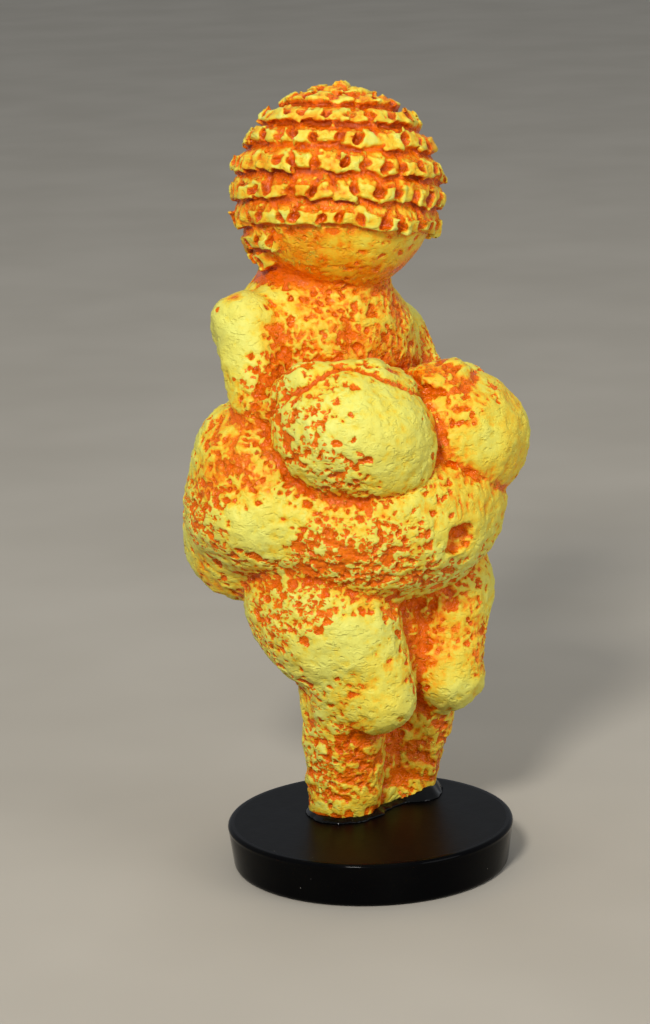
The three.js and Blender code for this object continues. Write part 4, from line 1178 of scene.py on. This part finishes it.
# the paint has pooled smoother over the rim and down the side
rim_smooth = d.step(out_r.outputs["Value"], 0.0262, 0.0270)
d.put(d.add(d.mul(d.n1, 0.10), d.mul(d.n2, 0.07), d.mul(specks, 0.3), d.mul(rim_smooth, -0.26), 0.36), d.bsdf.inputs["Roughness"])
d.bsdf.inputs["Specular IOR Level"].default_value = 0.04
d.put(d.bump(d.add(d.mul(d.n2, 0.6), d.mul(d.n3, 0.25)), 0.06, 0.5), d.bsdf.inputs["Normal"])
disc.data.materials.append(d.mat)
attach(disc, "root")
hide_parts("base_disc")

# ------------------------------------------------------------------ the glue round the feet
def glue_field(p):
    flat = np.stack([p[:, 0], p[:, 1], np.full(len(p), 10.2, F4)], 1)
    away = body(flat)
    far = ramp(p[:, 0], 1.0, 9.0)
    n1 = noise(flat, (4.0, 4.0, 9.0), 601)
    n2 = noise(flat, (1.6, 1.6, 9.0), 602)
    reach = 1.35 + 0.6 * n1 + 0.3 * n2 + 0.4 * far
    t = np.clip(away / reach, -3, 1)
    high = (0.95 + 0.35 * n1 + 0.15 * n2 + 1.35 * far) * np.where(t > 0, (1 - t) ** 1.6 * (1 + 0.6 * t), 1 + 0.15 * np.clip(-t, 0, 1))
    high = np.where(away < -1.6, high - (-1.6 - away) * 0.8, high)
    top = p[:, 2] - (DISC_H - 0.05 + high)
    return np.maximum(top * 0.62, DISC_H - 0.12 - p[:, 2]).astype(F4)


GP, GQ = surface(glue_field, (-20.0, -12.0, DISC_H - 1.2), (20.0, 10.5, DISC_H + 4.6), 0.33)
glue = mesh_object("glue_bead", place(GP), GQ)
print("glue %d quads %.1f" % (len(GQ), time.time() - T0))
g = Nodes("glue_black")
g.n1, g.n2 = g.noise(3.0, 2), g.noise(0.7, 2)
g.put(g.mix(g.step(g.n1, -0.2, 0.2), linear("#030303"), linear("#080807")), g.bsdf.inputs["Base Color"])
g.put(g.add(g.mul(g.n1, 0.10), 0.14), g.bsdf.inputs["Roughness"])
g.bsdf.inputs["Specular IOR Level"].default_value = 0.2
g.put(g.bump(g.add(g.n1, g.mul(g.n2, 0.3)), 0.12, 0.6), g.bsdf.inputs["Normal"])
glue.data.materials.append(g.mat)
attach(glue, "root")
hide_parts("adhesive")

# ------------------------------------------------------------------ floor, light, camera
YAW, PITCH, ROLL = rad(44.3567), rad(-13.7548), rad(-1.6764)
f = Vector((math.sin(YAW) * math.cos(PITCH), math.cos(YAW) * math.cos(PITCH), math.sin(PITCH)))
r = f.cross(Vector((0, 0, 1))).normalized()
u = r.cross(f)
r2 = r * math.cos(ROLL) + u * math.sin(ROLL)
u2 = u * math.cos(ROLL) - r * math.sin(ROLL)
cam_data = bpy.data.cameras.new("camera")
cam_data.sensor_width = 36.0
cam_data.sensor_fit = "AUTO"
cam_data.lens = 3415.23 * 36.0 / 1024.0
cam_data.clip_start, cam_data.clip_end = 0.05, 50
cam = bpy.data.objects.new("camera", cam_data)
bpy.context.scene.collection.objects.link(cam)
cam.matrix_world = Matrix(((r2.x, u2.x, -f.x, -0.445477), (r2.y, u2.y, -f.y, -0.445477), (r2.z, u2.z, -f.z, 0.224166), (0, 0, 0, 1)))
bpy.context.scene.camera = cam

floor_me = bpy.data.meshes.new("floor")
floor_me.from_pydata([(-6, -6, 0), (6, -6, 0), (6, 6, 0), (-6, 6, 0)], [], [(0, 1, 2, 3)])
floor = bpy.data.objects.new("floor", floor_me)
bpy.context.scene.collection.objects.link(floor)
fm = Nodes("floor_pale")
fm.put(fm.mix(fm.step(fm.noise(60.0, 2), -0.3, 0.3), linear("#AAA396"), linear("#B1AA9D")), fm.bsdf.inputs["Base Color"])
fm.bsdf.inputs["Roughness"].default_value = 0.9
fm.bsdf.inputs["Specular IOR Level"].default_value = 0.1
floor.data.materials.append(fm.mat)

world = bpy.data.worlds.new("studio")
bpy.context.scene.world = world
world.use_nodes = True
bg = world.node_tree.nodes.get("Background") or world.node_tree.nodes.new("ShaderNodeBackground")
bg.inputs["Color"].default_value = (0.80, 0.84, 0.90, 1)
bg.inputs["Strength"].default_value = 0.46

back, left = Vector((-math.sin(YAW), -math.cos(YAW), 0)), -r
target = Vector((0.004, 0.004, 0.075))


def lamp(name, direction, distance, size, watts, colour):
    data = bpy.data.lights.new(name, "AREA")
    data.shape = "DISK"
    data.size, data.energy, data.color = size, watts, colour
    o = bpy.data.objects.new(name, data)
    bpy.context.scene.collection.objects.link(o)
    direction = direction.normalized()
    o.location = target + direction * distance
    o.rotation_mode = "QUATERNION"
    o.rotation_quaternion = (-direction).to_track_quat("-Z", "Y")
    return o


up = Vector((0, 0, 1))
lamp("key", back * 0.92 + left * 0.26 + up * 0.66, 0.9, 0.16, 6.3, (1.0, 0.975, 0.94))
lamp("fill", back * 0.6 - left * 0.9 + up * 0.35, 1.1, 0.7, 3.2, (0.97, 0.98, 1.0))
lamp("top", back * -0.3 + left * 0.1 + up * 1.0, 1.1, 0.7, 2.0, (1.0, 0.99, 0.97))

bpy.context.scene.view_settings.view_transform = "Standard"
bpy.context.scene.view_settings.look = "None"

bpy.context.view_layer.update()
print("scene %.1f" % (time.time() - T0))
